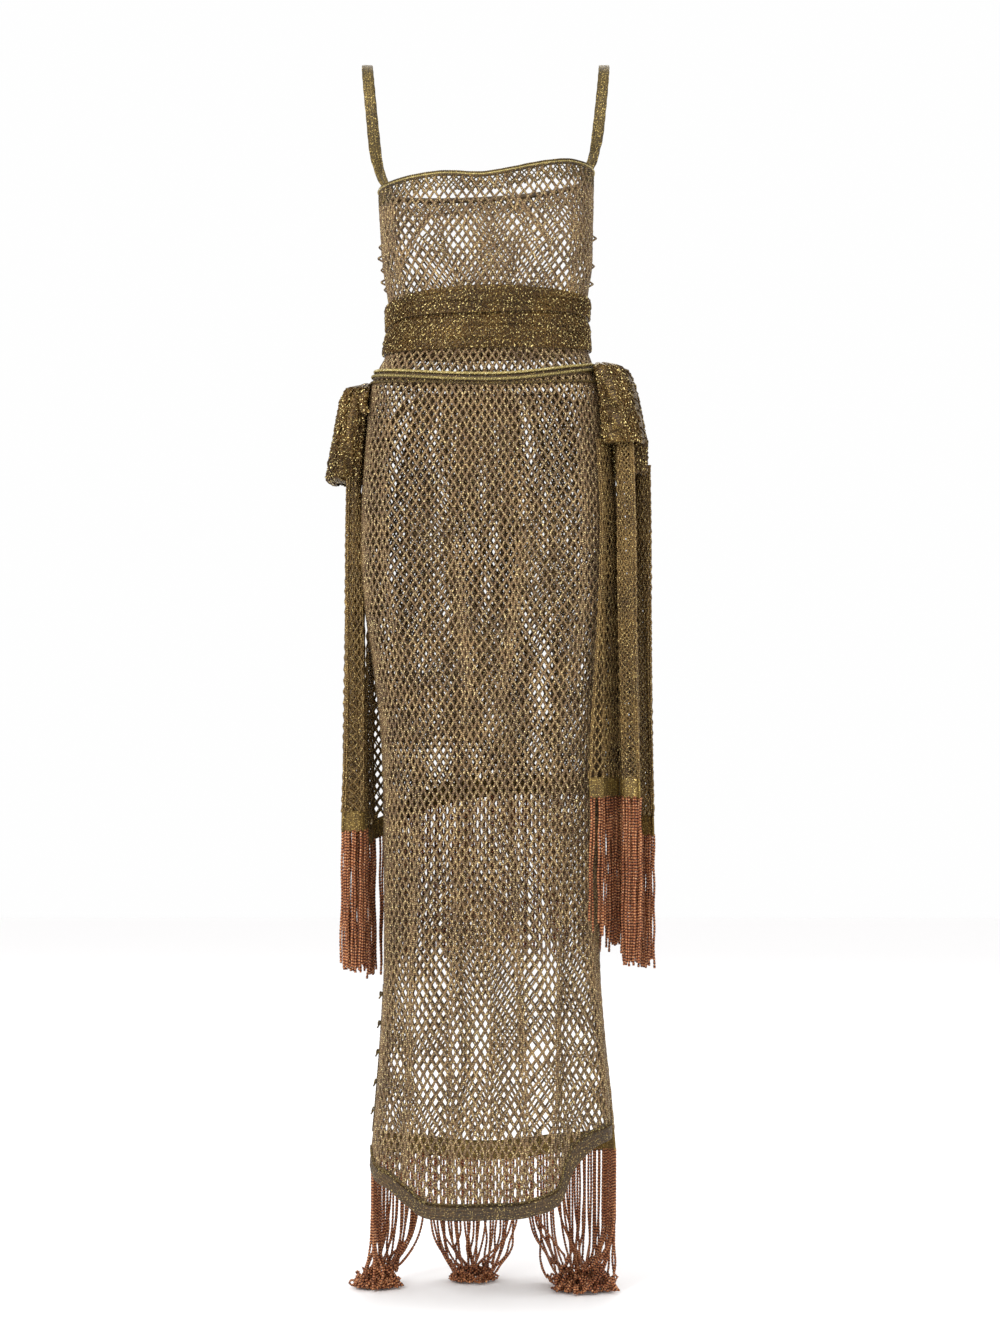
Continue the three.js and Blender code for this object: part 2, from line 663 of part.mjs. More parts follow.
function knots() {
  for (const { name, from, to, top, bottom, off, reach } of KNOTS) {
    const cells = grid({
      columns: 7, rows: 5, left: () => from, right: () => to, top: () => top, bottom: () => bottom,
    });
    const outer = (t, v) => {
      const sides = lerp(KNOT.sides, 1, Math.sqrt(1 - (2 * t - 1) ** 4));
      const crown = lerp(KNOT.top, 1, Math.sqrt(1 - (1 - Math.min(v / KNOT.crown, 1)) ** 2));
      return off + KNOT.wall + lerp(reach[0], reach[1], v) * sides * crown;
    };
    const side = (out) =>
      cells.map((row, r) =>
        row.map(([u, drop], c) => {
          const [t, v] = [c / (row.length - 1), r / (cells.length - 1)];
          return bodyPoint(u, drop, out(t, v));
        }),
      );
    add(name, wallBetween(side(outer), side(() => off)), "sash");
  }
}

// Fringe hangs from a narrow strip just under its band.
function fringe(name, surface, cells, count, strandPath) {
  const strip = wallOn(surface, cells, -BAND / 2, BAND / 2);
  const edge = cells[cells.length - 1];
  const strands = span(count - 1, (t) => {
    const place = lerp(FIRST_STRAND, edge.length - 1 - FIRST_STRAND, t);
    const k = Math.floor(place);
    const [u, drop] = [0, 1].map((n) => lerp(edge[k][n], edge[k + 1][n], place - k));
    const root = surface(u, drop - STRIP / 2);
    const across = new THREE.Vector3(0, 1, 0);
    return bar(strandPath(root, t, u), { across, width: STRAND, sides: 3 });
  });
  add(name, joined([strip, ...strands]), "fringe");
}

const stripUnder = (hem, edges, columns) =>
  grid({
    columns, rows: 1, ...edges, top: (u) => hem(u) + SEAM, bottom: (u) => hem(u) + SEAM + STRIP,
  });

// Straight strands of slightly uneven length, as long as ends at the ends of the band.
const hanging = (ends, middle = ends) => (root, t) => {
  const length = lerp(ends, middle, Math.sin(Math.PI * t));
  const uneven = 1 - UNEVEN.share * (1 + Math.sin(t * UNEVEN.waves));
  return [root, root.clone().setZ(root.z - length * uneven)];
};

// Hem strands hang almost to the floor, then sweep to the nearest pile and end on it.
function gathering(root, t) {
  const gap = ({ x, reach }) => Math.abs(root.x - x) - reach[0];
  const pile = PILES.reduce((best, other) => (gap(other) < gap(best) ? other : best));
  const turn = PILE_TURN * t * (FRINGES.hem - 1);
  const spread = lerp(...PILE_SPREAD, 0.5 + 0.5 * Math.sin(3 * turn));
  const end = new THREE.Vector3(
    pile.x + spread * pile.reach[0] * Math.cos(turn),
    pile.y + spread * pile.reach[1] * Math.sin(turn),
    0,
  );
  const floor = -FLOOR + STRAND + FLOOR_GAP;
  const at = (share, high) => root.clone().lerp(end, share).setZ(floor + high);
  return [root, at(LEAVES.share, LEAVES.high), at(LANDS.share, LANDS.high), at(1, 0)];
}

function drape() {
  const edgeAt = ({ angles, drops }) => (drop) => lerp(...angles, smoothstep(drop, ...drops));
  const edges = { left: edgeAt(DRAPE_EDGES.right), right: edgeAt(DRAPE_EDGES.left) };
  const [top, hem] = [edgeOf(DRAPE_TOP), edgeOf(DRAPE_HEM)];
  const lower = {
    left: () => DRAPE_EDGES.right.angles[1],
    right: () => DRAPE_EDGES.left.angles[1],
  };
  const columns = DRAPE_PLEATS * PLEAT_COLUMNS;
  const bandTop = (u) => hem(u) - HEM_BAND;
  const panel = grid({
    columns, rows: 6, ...edges, top, bottom: (u) => bandTop(u) - SEAM, ease: DRAPE_EASE,
  });
  add("drape", wallOn(drapePoint, panel, -FALL / 2, FALL / 2), "fall");
  const band = grid({ columns, rows: 1, ...lower, top: bandTop, bottom: hem });
  add("drape_band", wallOn(drapePoint, band, -BAND / 2, BAND / 2), "band");
  fringe("drape_fringe", drapePoint, stripUnder(hem, lower, columns), FRINGES.drape,
    hanging(...DRAPE_FRINGE));
}

function falls() {
  for (const fall of FALLS) {
    const surface = fallPoint(fall);
    const edges = { left: () => 0, right: () => 1 };
    const columns = fall.waves * WAVE_COLUMNS;
    const bandTop = fall.hem - HEM_BAND;
    const panel = grid({
      columns, rows: 4, ...edges, top: () => fall.top, bottom: () => bandTop - SEAM,
    });
    add("fall_" + fall.name, wallOn(surface, panel, -FALL / 2, FALL / 2), "fall");
    const band = grid({ columns, rows: 1, ...edges, top: () => bandTop, bottom: () => fall.hem });
    add("band_" + fall.name, wallOn(surface, band, -BAND / 2, BAND / 2), "band");
    fringe("fringe_" + fall.name, surface, stripUnder(() => fall.hem, edges, columns),
      FRINGES[fall.name], hanging(FRINGE_LENGTH[fall.name]));
  }
}

bodice("bodice_front", FRONT, 24);
bodice("bodice_back", BACK, 24);
neckBinding();
straps();
sash();
hipCords();
skirtFront();
skirtBack();
slitTapes();
threadKnots();
knots();
drape();
falls();
fringe("hem_fringe", dressPoint, stripUnder(backHem, backHemEdges, SKIRT_COLUMNS.back),
  FRINGES.hem, gathering);

export default dress;
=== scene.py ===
"""Looks of the lame net dress: open nets of twisted yarn, a folded and knotted sash, knitted
bands and copper fringe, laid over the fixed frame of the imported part."""
import math

import bpy
import numpy as np
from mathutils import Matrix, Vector


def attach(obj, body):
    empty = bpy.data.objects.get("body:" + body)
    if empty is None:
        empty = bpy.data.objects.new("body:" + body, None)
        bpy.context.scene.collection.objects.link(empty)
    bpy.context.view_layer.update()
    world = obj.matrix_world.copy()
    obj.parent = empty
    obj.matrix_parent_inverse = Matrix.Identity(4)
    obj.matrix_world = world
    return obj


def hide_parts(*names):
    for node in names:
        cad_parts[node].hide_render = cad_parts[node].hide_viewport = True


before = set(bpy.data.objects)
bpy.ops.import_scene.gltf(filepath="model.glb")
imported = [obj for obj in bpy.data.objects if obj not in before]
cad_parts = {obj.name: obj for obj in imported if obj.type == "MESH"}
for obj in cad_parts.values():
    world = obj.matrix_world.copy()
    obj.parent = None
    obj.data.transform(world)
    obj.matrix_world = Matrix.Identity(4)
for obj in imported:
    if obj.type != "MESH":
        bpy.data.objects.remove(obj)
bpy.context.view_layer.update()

# -------------------- camera

PICTURE_HEIGHT = 1333
FOCAL_PX = 3390  # focal length, in pixels of a picture of that height
SENSOR = 24  # sensor height, in millimetres


def placed(name, data):
    """A new object in the scene."""
    made = bpy.data.objects.new(name, data)
    bpy.context.scene.collection.objects.link(made)
    return made


camera = placed("camera", bpy.data.cameras.new("camera"))
camera.data.sensor_fit = "VERTICAL"
camera.data.sensor_height = SENSOR
camera.data.lens = SENSOR * FOCAL_PX / PICTURE_HEIGHT
camera.location = (0.0153, -4.0, -0.7098)
camera.rotation_euler = (math.radians(90), 0, 0)
bpy.context.scene.camera = camera

# -------------------- sizes, in millimetres

MM = 0.001
TURN = 2 * math.pi
rng = np.random.default_rng(27)

# heights are given as drops below the strap tops, places round the body as angles in degrees
BAND = 3.2  # thickness of the dense knitted bands
SEAM = 0.3  # gap between neighbouring pieces
SQUARENESS = 2.3  # exponent of the body's rounded sections
HIP_SEAM = 368
SLIT, SLIT_FULL = 1085, 1260  # where the side slits begin, and where they are fully open
SLIT_OPENING = {"front_left": 12, "front_right": 16, "back": 1.2}  # angle at each panel's edge
FLOOR = 1450
HEM_BAND = 24  # height of the knitted bands on the hems
APRON_BINDING = 19  # height of the binding on the rounded front hem
STEEPEST = 1.7  # most that the binding grows in height where the hem is steep
HEM_LEVEL = 1300  # drop at which the hem's run round the body is measured
FALL_ROW, DRAPE_ROW = 6.6, 6.9  # half the height of a diamond in the side falls and the drape

# drop, half-widths left and right, depths front and back
SECTIONS = np.array([
    (110, 126, 124, 97, 92), (160, 126, 124, 104, 92), (200, 124, 123, 105, 90),
    (240, 121, 122, 98, 86), (280, 115, 116, 89, 82), (320, 113, 114, 86, 82),
    (345, 118, 119, 88, 88), (375, 133, 132, 95, 98), (450, 142, 139, 103, 112),
    (540, 147, 144, 107, 116), (620, 145, 143, 107, 114), (700, 134, 139, 105, 108),
    (800, 123, 133, 103, 104), (940, 120, 130, 101, 104), (1075, 120, 132, 102, 108),
    (1150, 124, 138, 105, 114), (1225, 130, 146, 109, 122), (1300, 137, 152, 113, 128),
    (1350, 139, 154, 115, 131),
], float)
LEFT, RIGHT, FRONT, BACK = 1, 2, 3, 4

# large folds of the skirt: angle, spread, height, drops between which they rise
FOLDS = [
    (204, 8, 3, 700, 1150), (236, 8, 4.5, 640, 1100), (262, 8, 3.5, 760, 1200),
    (281, 8, 3.5, 720, 1200), (303, 8, 7, 760, 1180), (319, 8, -5, 800, 1200),
    (338, 8, 3, 700, 1150), (26, 9, 4, 760, 1150), (56, 9, 5, 700, 1100),
    (88, 9, 4, 780, 1200), (120, 9, 5, 720, 1100), (151, 9, 4, 760, 1150),
]
# creases: angle and drop of the upper end, of the lower end, spread in degrees, height,
# and how far the net is drawn together along them
CREASES = [
    (242, 176, 208, 250, 7, 1.6, 0.5), (278, 150, 318, 232, 8, 2.0, 0.55),
    (328, 160, 330, 300, 8, 1.6, 0.55), (207, 165, 212, 300, 7, 1.2, 0.45),
    (300, 235, 285, 300, 6, 1.0, 0.3),
    (209, 380, 216, 700, 7, 1.4, 0.4), (330, 380, 322, 720, 8, 1.6, 0.45),
    (250, 560, 262, 760, 9, 1.8, 0.4), (292, 540, 278, 760, 9, 1.8, 0.4),
    (226, 760, 222, 1345, 6, 2.2, 0.5), (250, 800, 249, 1345, 5, 2.0, 0.45),
    (272, 900, 270, 1345, 4, 1.6, 0.3), (290, 820, 291, 1345, 5, 2.2, 0.5),
    (322, 870, 302, 1320, 3.2, 3.2, 0.6), (334, 760, 340, 1300, 5, 1.8, 0.4),
    (196, 780, 194, 1300, 5, 1.4, 0.35),
    (40, 400, 48, 900, 8, 1.8, 0.4), (75, 520, 70, 1300, 6, 2.0, 0.45),
    (104, 420, 106, 1300, 6, 2.0, 0.45), (136, 480, 138, 1290, 7, 1.8, 0.4),
    (15, 700, 12, 1290, 6, 1.6, 0.4), (165, 640, 167, 1290, 6, 1.6, 0.4),
    (60, 160, 78, 290, 8, 1.6, 0.45), (125, 165, 104, 300, 8, 1.6, 0.45),
]
INTO_HEM = 1240  # a crease that ends lower than this runs on to the hem and doesn't fade
# edges of the net panels and the wide fall: angle and drop
NECK_EDGE = [
    (0, 129), (45, 140), (90, 146), (180, 152), (205, 149), (225, 144.5), (243, 142),
    (266, 144), (284, 139), (298, 133), (312, 127.5), (325, 124.5), (360, 129),
]
APRON_HEM = [
    (180, 1272), (198, 1303), (214, 1316), (224, 1328), (233, 1340), (242, 1345), (272, 1344),
    (291, 1342), (303, 1333), (311, 1323), (320, 1290), (330, 1268), (344, 1259), (360, 1254),
]
BACK_HEM = [(0, 1280), (45, 1297), (90, 1311), (135, 1298), (180, 1282)]
BACK_ENDS = (1.5, 178.5)  # angles between which the back hem's band runs
DRAPE_TOP = [
    (-24, 450.5), (9, 450.5), (24, 408), (40, 388), (132, 388), (148, 420), (162, 500),
]
DRAPE_HEM = [(-34, 862), (30, 864), (92, 869), (128, 888), (150, 918), (164, 926)]
# how far the wide fall stands off the body, and how deep its pleats are
DRAPE_SET = [(386, 3, 0.1), (450, 5.6, 0.8), (600, 7, 2.4), (700, 7.6, 3.2), (930, 9, 4.6)]
DRAPE_PLUMB = 560  # drop below which the wide fall hangs straight down
DRAPE_SPAN = 198  # degrees from the wide fall's first pleat to its last
DRAPE_PLEATS, PLEAT_SWAY = 9, 0.6
DRAPE_ENDS = (-34.0, 163.0)  # angles between which its lower edge runs
# falls at the sides. middle, front and back give, at the top and at the hem, how far the fall
# hangs from the centreline and where its front and back edges are. pleat is how deep its waves
# are there, width its width laid flat and fringe the length of its strands
FALLS = {
    "left": dict(side=-1, top=496.4, hem=903, waves=2.5, middle=(157, 155.5), pleat=(5.5, 12.5),
                 front=(-22, -42), back=(30, 30), width=118, fringe=168),
    "right": dict(side=1, top=450.4, hem=863, waves=2, middle=(160.5, 168), pleat=(8, 9.5),
                  front=(-57, -66), back=(-24, -18), width=74, fringe=198),
    "right_outer": dict(side=1, top=486.4, hem=909, waves=2, middle=(184, 187), pleat=(6, 8),
                        front=(-8, -12), back=(38, 48), width=86, fringe=160),
}
# edges of the sash's two wraps, from the top down: angle and drop
WRAP_EDGES = [
    [(0, 279), (90, 276), (180, 287), (225, 275), (270, 269), (315, 272), (360, 279)],
    [(0, 303), (90, 306), (180, 316), (215, 304), (270, 301), (325, 298), (360, 303)],
    [(0, 339), (90, 342), (180, 344), (270, 342), (360, 339)],
]
SASH = 3.6  # thickness of a folded wrap at its edges
CORDS = {
    "hip_cord_upper": dict(left=365, front=373, right=358, back=366),
    "hip_cord_lower": dict(left=370.5, front=379.5, right=363.5, back=371.5),
}
# foot gives the angles of a strap's ends on the neck binding and lift how far the ends stand
# above it; turns is the direction of the tape's width along it, route its middle line
STRAPS = {
    "strap_left": dict(
        foot=(196, 158), turns=(90, 16, 0, 0, 0, 0, 0, -16, -75), lift=(2.4, 1.3),
        route=[(-130, -46, 116), (-135, -54, 68), (-140, -36, 17), (-141, 4, 1.4),
               (-140, 44, 19), (-135, 59, 72), (-128, 54, 120)]),
    "strap_right": dict(
        foot=(345, 22), turns=(-90, -16, 0, 0, 0, 0, 0, 16, 75), lift=(3.5, 1.3),
        route=[(128, -44, 100), (133, -53, 60), (137, -36, 17), (138, 4, 1.4),
               (137, 44, 19), (132, 58, 66), (126, 52, 104)]),
}
STRAP_WIDTH, STRAP_THICKNESS, STRAP_RIBS, STRAP_STEPS = 12, 2.4, 4, 90
KNOT_DROPS = [1096, 1130, 1163, 1197, 1229]
RING_STEPS = 720  # points of a line round the body


def smooth(rows, at, column=1):
    """A smooth curve through a table's column, by its first column."""
    table = np.asarray(rows, float)
    x, y = table[:, 0], table[:, column]
    low = np.maximum(np.arange(len(x)) - 1, 0)
    high = np.minimum(np.arange(len(x)) + 1, len(x) - 1)
    slope = (y[high] - y[low]) / (x[high] - x[low])
    at = np.asarray(at, float)
    k = np.clip(np.searchsorted(x, at, side="right") - 1, 0, len(x) - 2)
    run = x[k + 1] - x[k]
    t = np.clip((at - x[k]) / run, 0, 1)
    bend = slope[k] * t * (1 - t) ** 2 - slope[k + 1] * t * t * (1 - t)
    return y[k] + (y[k + 1] - y[k]) * t * t * (3 - 2 * t) + run * bend


def step(at, low, high):
    t = np.clip((np.asarray(at, float) - low) / (high - low), 0, 1)
    return t * t * (3 - 2 * t)


def lerp(a, b, t):
    return a + (b - a) * t


# -------------------- surfaces: points by place round the piece, drop and distance outwards

def body(angle, drop, out=0.0):
    angle, drop = np.broadcast_arrays(np.asarray(angle, float), np.asarray(drop, float))
    c, s = np.cos(np.radians(angle)), np.sin(np.radians(angle))
    width = np.where(c > 0, smooth(SECTIONS, drop, RIGHT), smooth(SECTIONS, drop, LEFT))
    depth = np.where(s > 0, smooth(SECTIONS, drop, BACK), smooth(SECTIONS, drop, FRONT))
    total = (np.abs(c) / width) ** SQUARENESS + (np.abs(s) / depth) ** SQUARENESS
    radius = total ** (-1 / SQUARENESS) + out
    return np.stack([radius * c, radius * s, -drop], -1)


def apart(angle, other):
    """Signed angle from other to angle, between -180 and 180."""
    return (np.asarray(angle, float) - other + 180) % 360 - 180


def along_crease(u0, d0, u1, d1, spread, angle, drop):
    """How far across a crease a point lies, in spreads, and how strong the crease is there."""
    t = (drop - d0) / (d1 - d0)
    middle = lerp(u0, u1, np.clip(t, 0, 1)) + 1.5 * np.sin(drop / 61 + u0)
    fades = step(t, -0.12, 0.25) * (1 - step(t, 0.85, 1.1))
    strength = step(t, -0.05, 0.5) if d1 > INTO_HEM else fades
    return apart(angle, middle) / spread, strength


def folds(angle, drop):
    out = 0
    for at, spread, height, begins, full in FOLDS:
        out = out + height * np.exp(-(apart(angle, at) / spread) ** 2) * step(drop, begins, full)
    for *line, height, _ in CREASES:
        across, strength = along_crease(*line, angle, drop)
        out = out + height * strength * np.exp(-across ** 2)
    return out


def drawn_together(angle, drop):
    """Columns of net move towards the creases, which closes the holes along them."""
    moved = np.array(angle, float)
    for *line, _, drawn in CREASES:
        across, strength = along_crease(*line, angle, drop)
        moved = moved - drawn * line[-1] * strength * across * np.exp(-across ** 2)
    return moved


def dress(angle, drop, out=0.0):
    return body(angle, drop, out + folds(angle, drop))


def drape(angle, drop, out=0.0):
    off, pleat = smooth(DRAPE_SET, drop), smooth(DRAPE_SET, drop, 2)
    phase = (angle - DRAPE_ENDS[0]) / DRAPE_SPAN * DRAPE_PLEATS * TURN
    fine = 0.28 * pleat * np.sin(2.7 * phase + drop / 90)
    wave = pleat * np.sin(phase + PLEAT_SWAY * np.sin(phase / 3)) + fine
    points = body(angle, np.minimum(drop, DRAPE_PLUMB), out + off + wave)
    points[..., 2] = -drop
    return points


def fall_surface(fall):
    """u runs 0 to 1 from front to back on the right, and from back to front on the left."""
    def surface(u, drop, out=0.0):
        u, drop = np.broadcast_arrays(np.asarray(u, float), np.asarray(drop, float))
        down = np.clip((drop - fall["top"]) / (fall["hem"] - fall["top"]), 0, 1.6)
        pleat, middle, front, back = [lerp(*fall[key], np.minimum(down, 1.2))
                                      for key in ("pleat", "middle", "front", "back")]
        along = u if fall["side"] > 0 else 1 - u
        turn = TURN * fall["waves"] * along
        wave = pleat * (np.cos(turn) + 0.16 * np.sin(2.6 * turn + drop / 70))
        swing = 1.2 * np.sin(drop / 83 + fall["middle"][0]) * down
        x = fall["side"] * (middle + wave + out)
        y = lerp(front, back, along) + swing
        return np.stack([x, y, -drop], -1)
    return surface


def moved_out(surface, u, drop, out):
    """The point moved out along the surface's own normal."""
    tiny = 0.02
    across = surface(u + tiny, drop) - surface(u - tiny, drop)
    down = surface(u, drop + tiny) - surface(u, drop - tiny)
    normal = np.cross(down, across)
    normal /= np.linalg.norm(normal, axis=-1, keepdims=True)
    return surface(u, drop) + normal * np.asarray(out, float)[..., None]


def bearing(angle):
    """The outward direction at an angle."""
    turn = np.radians(angle)
    return np.stack([np.cos(turn), np.sin(turn), 0 * turn], -1)


def run_along(path):
    """Lengths along a path, from its start to each point."""
    return np.concatenate([[0], np.cumsum(np.linalg.norm(np.diff(path, axis=0), axis=1))])


def square_to(path, side):
    """Two directions across a path at each of its points, the first as near side as can be."""
    tangent = np.gradient(path, axis=0)
    tangent /= np.linalg.norm(tangent, axis=1, keepdims=True)
    side = side - tangent * np.sum(side * tangent, axis=1, keepdims=True)
    side /= np.linalg.norm(side, axis=1, keepdims=True)
    return side, np.cross(tangent, side)


def ring_path(drop_at, off):
    """A closed line round the body, and the outward directions along it."""
    angle = np.linspace(0, 360, RING_STEPS)
    return moved_out(body, angle, drop_at(angle), off + 0 * angle), bearing(angle)


def ring_grid(columns, rows):
    """Angle and share of height of a closed wall's grid, rows downwards."""
    angle = np.linspace(0, 360, columns + 1)[:-1][None, :] + np.zeros((rows + 1, 1))
    return angle, np.linspace(0, 1, rows + 1)[:, None] + 0 * angle


# -------------------- materials

def linear(colour):
    """sRGB hex to linear RGBA."""
    parts = [int(colour[k:k + 2], 16) / 255 for k in (1, 3, 5)]
    return [p / 12.92 if p <= 0.04045 else ((p + 0.055) / 1.055) ** 2.4 for p in parts] + [1]


def node(tree, kind, inputs=(), **settings):
    """Adds a node. Its inputs go by name or in order, each as a value, as a socket or as a node
    whose first output is linked."""
    made = tree.nodes.new(kind)
    for name, value in settings.items():
        setattr(made, name, value)
    for name, value in (inputs if isinstance(inputs, dict) else dict(enumerate(inputs))).items():
        if isinstance(value, bpy.types.Node):
            value = value.outputs[0]
        if isinstance(value, bpy.types.NodeSocket):
            tree.links.new(value, made.inputs[name])
        else:
            made.inputs[name].default_value = value
    return made


def new_material(name):
    material = bpy.data.materials.new(name)
    material.use_nodes = True
    return material, material.node_tree, material.node_tree.nodes["Principled BSDF"]


MATH, TIMES, TIMES_PLUS = "ShaderNodeMath", "MULTIPLY", "MULTIPLY_ADD"
SHADE_PLACES = (0.1, 0.4, 0.65, 0.95)  # where a yarn's four shades lie, from shade to light
MEAN_TONE = 0.245  # what the noises add to a yarn's tone on average, past its middle shade


def yarn_material(name, shades, glint, metallic, roughness, ply=2.4, knit=None, glints=0.62,
                  speck=1.3, depth=0.6, twist=0.35):
    """Lame: yarn wound with flat metal thread. glint is a painted highlight: the colour painted on
    single bright turns of the thread, where its metal catches the light; speck is their size and
    glints how rare they are. ply is the run of one twist of the yarn, and knit the width and
    height of a stitch where the piece is knitted, in millimetres.
    twist is how much painted shade darkens the valleys of the twist and of the stitches, and
    how much painted light brightens their ridges."""
    material, tree, shader = new_material(name)
    place = node(tree, "ShaderNodeTexCoord").outputs["Object"]
    cloudy, flecks, fine = [
        node(tree, "ShaderNodeTexNoise", {
            "Vector": place, "Scale": 1 / (size * MM), "Detail": detail})
        for size, detail in ((38, 2.0), (2.6, 3.0), (speck, 1.0))]
    if knit:
        # stitches: rows of small V shapes, each as wide and high as one loop of yarn
        cloth = node(tree, "ShaderNodeUVMap", uv_map="cloth")
        across, down = node(tree, "ShaderNodeSeparateXYZ", [cloth]).outputs[:2]
        column = node(tree, MATH, [across, TURN / (knit[0] * MM)], operation=TIMES)
        half = node(tree, MATH, [column, 0.5], operation=TIMES)
        arch = node(tree, MATH, [node(tree, MATH, [half], operation="SINE")],
                    operation="ABSOLUTE")
        slant = node(tree, MATH, [arch, 2.2], operation=TIMES)
        row = node(tree, MATH, [down, TURN / (knit[1] * MM)], operation=TIMES)
        loops = node(tree, MATH, [node(tree, MATH, [row, slant])], operation="SINE")
        loops = node(tree, MATH, [loops, 0.28, 0.5], operation=TIMES_PLUS)
        ribs = node(tree, MATH, [column], operation="COSINE")
        relief = node(tree, MATH, [ribs, 0.22, loops], operation=TIMES_PLUS)
    else:
        # the plies show as ridges that follow each other along the yarn
        run = node(tree, "ShaderNodeAttribute", attribute_name="run").outputs["Fac"]
        turn = node(tree, MATH, [run, TURN / (ply * MM)], operation=TIMES)
        wave = node(tree, MATH, [turn], operation="SINE")
        relief = node(tree, MATH, [wave, 0.4, 0.5], operation=TIMES_PLUS)
    # painted light and shade: the relief darkens the colour in the valleys of the twist and the
    # stitches and lightens it on their ridges
    tone = node(tree, MATH, [relief, twist], operation=TIMES)
    for noise, share in ((flecks, 0.9), (cloudy, 0.5)):
        tone = node(tree, MATH, [noise, share, tone], operation=TIMES_PLUS)
    tone = node(tree, MATH, [tone, MEAN_TONE + 0.5 * twist], operation="SUBTRACT")
    ramp = node(tree, "ShaderNodeValToRGB", [tone])
    points = ramp.color_ramp.elements
    while len(points) < len(shades):
        points.new(0.5)
    for point, at, colour in zip(points, SHADE_PLACES, shades):
        point.position, point.color = at, linear(colour)
    # painted highlight: where the fine noise passes glints, the glint colour is painted on as a
    # glint of the metal
    bright = node(tree, "ShaderNodeMapRange", {
        "Value": fine, "From Min": glints, "From Max": glints + 0.08})
    blend = node(tree, "ShaderNodeMix", {0: bright, 6: ramp, 7: linear(glint)}, data_type="RGBA")
    rough = node(tree, MATH, [bright, -0.22, roughness], operation=TIMES_PLUS)
    rough = node(tree, MATH, [flecks, 0.2, rough], operation=TIMES_PLUS)
    height = node(tree, MATH, [flecks, 0.6, relief], operation=TIMES_PLUS)
    bump = node(tree, "ShaderNodeBump", {
        "Strength": depth, "Distance": 0.5 * MM, "Height": height})
    shader.inputs["Metallic"].default_value = metallic
    for name, socket in (("Base Color", blend.outputs[2]), ("Roughness", rough.outputs[0]),
                         ("Normal", bump.outputs[0])):
        tree.links.new(socket, shader.inputs[name])
    return material


# twisted lame yarn of the nets: brown core, khaki-gold wrap, single bright turns painted as
# highlights
NET_YARN = yarn_material(
    "twisted_lame_net_yarn", ("#2e2119", "#604932", "#8c6f4a", "#bd9c64"),
    "#ecd79a", 0.38, 0.4, glints=0.6)
# the same yarn in the folded sash, more golden, and darker as painted shade where it lies close
SASH_YARN = yarn_material(
    "folded_lame_sash_yarn", ("#1f1305", "#442e0b", "#684a17", "#a07a33"),
    "#fbe49a", 0.45, 0.34, glints=0.6, speck=2.1)
# the sash's dense folds under its net, knitted so close that only short gold glints, painted
# highlights, stand out
SASH_CLOTH = yarn_material(
    "folded_lame_sash_cloth", ("#241806", "#45300f", "#644a1c", "#8c6a30"),
    "#e8cb76", 0.4, 0.42, knit=(3.4, 3.0), glints=0.63)
# the yarn where it hangs in two loose layers: golden like the sash, but as light as the nets
FALL_YARN = yarn_material(
    "gathered_lame_fall_yarn", ("#2e2010", "#5c4523", "#816536", "#ad8d50"),
    "#ecd28a", 0.42, 0.4)
# light gold piping cord, the brightest trim
PIPING = yarn_material(
    "light_gold_piping_cord", ("#5f5228", "#998750", "#c2b06c", "#e6d89a"),
    "#fff3c4", 0.5, 0.34, ply=3.0)
# the lower cord, of the same make but duller
PIPING_LOW = yarn_material(
    "dull_gold_piping_cord", ("#4a4020", "#7a6b3c", "#9c8b52", "#c4b272"),
    "#eedd9f", 0.45, 0.38, ply=3.0)
# dense knitted edge binding, dark olive
BINDING = yarn_material(
    "knitted_olive_binding", ("#1a1106", "#36260f", "#533b19", "#806230"),
    "#d0b56f", 0.12, 0.52, knit=(2.6, 3.4), glints=0.64)
# overlock and gathering yarn, nearly as dark as the binding, with a few painted gold highlights
STITCHING = yarn_material(
    "dark_overlock_stitching", ("#1f180d", "#403219", "#655025", "#967b39"),
    "#d9bf6c", 0.35, 0.5, glints=0.64)
# dense knitted hem bands, olive-gold
BAND_KNIT = yarn_material(
    "knitted_gold_band", ("#33260f", "#5b461b", "#7b622b", "#a58846"),
    "#e3c674", 0.38, 0.46, knit=(3.0, 2.8))
# strap tapes, darker and more olive
STRAP_KNIT = yarn_material(
    "knitted_olive_strap", ("#241c0c", "#493a19", "#6a5729", "#967f43"),
    "#d6bb6c", 0.35, 0.48, knit=(3.0, 2.8))
# rayon and copper fringe cord, softer and less metallic than the net, its twist painted in strong
# light and shade
COPPER = yarn_material(
    "twisted_copper_fringe_cord", ("#41190c", "#854624", "#b1693c", "#e3a873"),
    "#f6d2a8", 0.25, 0.42, ply=3.4, glints=0.66, depth=1.0, twist=0.9)


# -------------------- yarn tubes, by Geometry Nodes

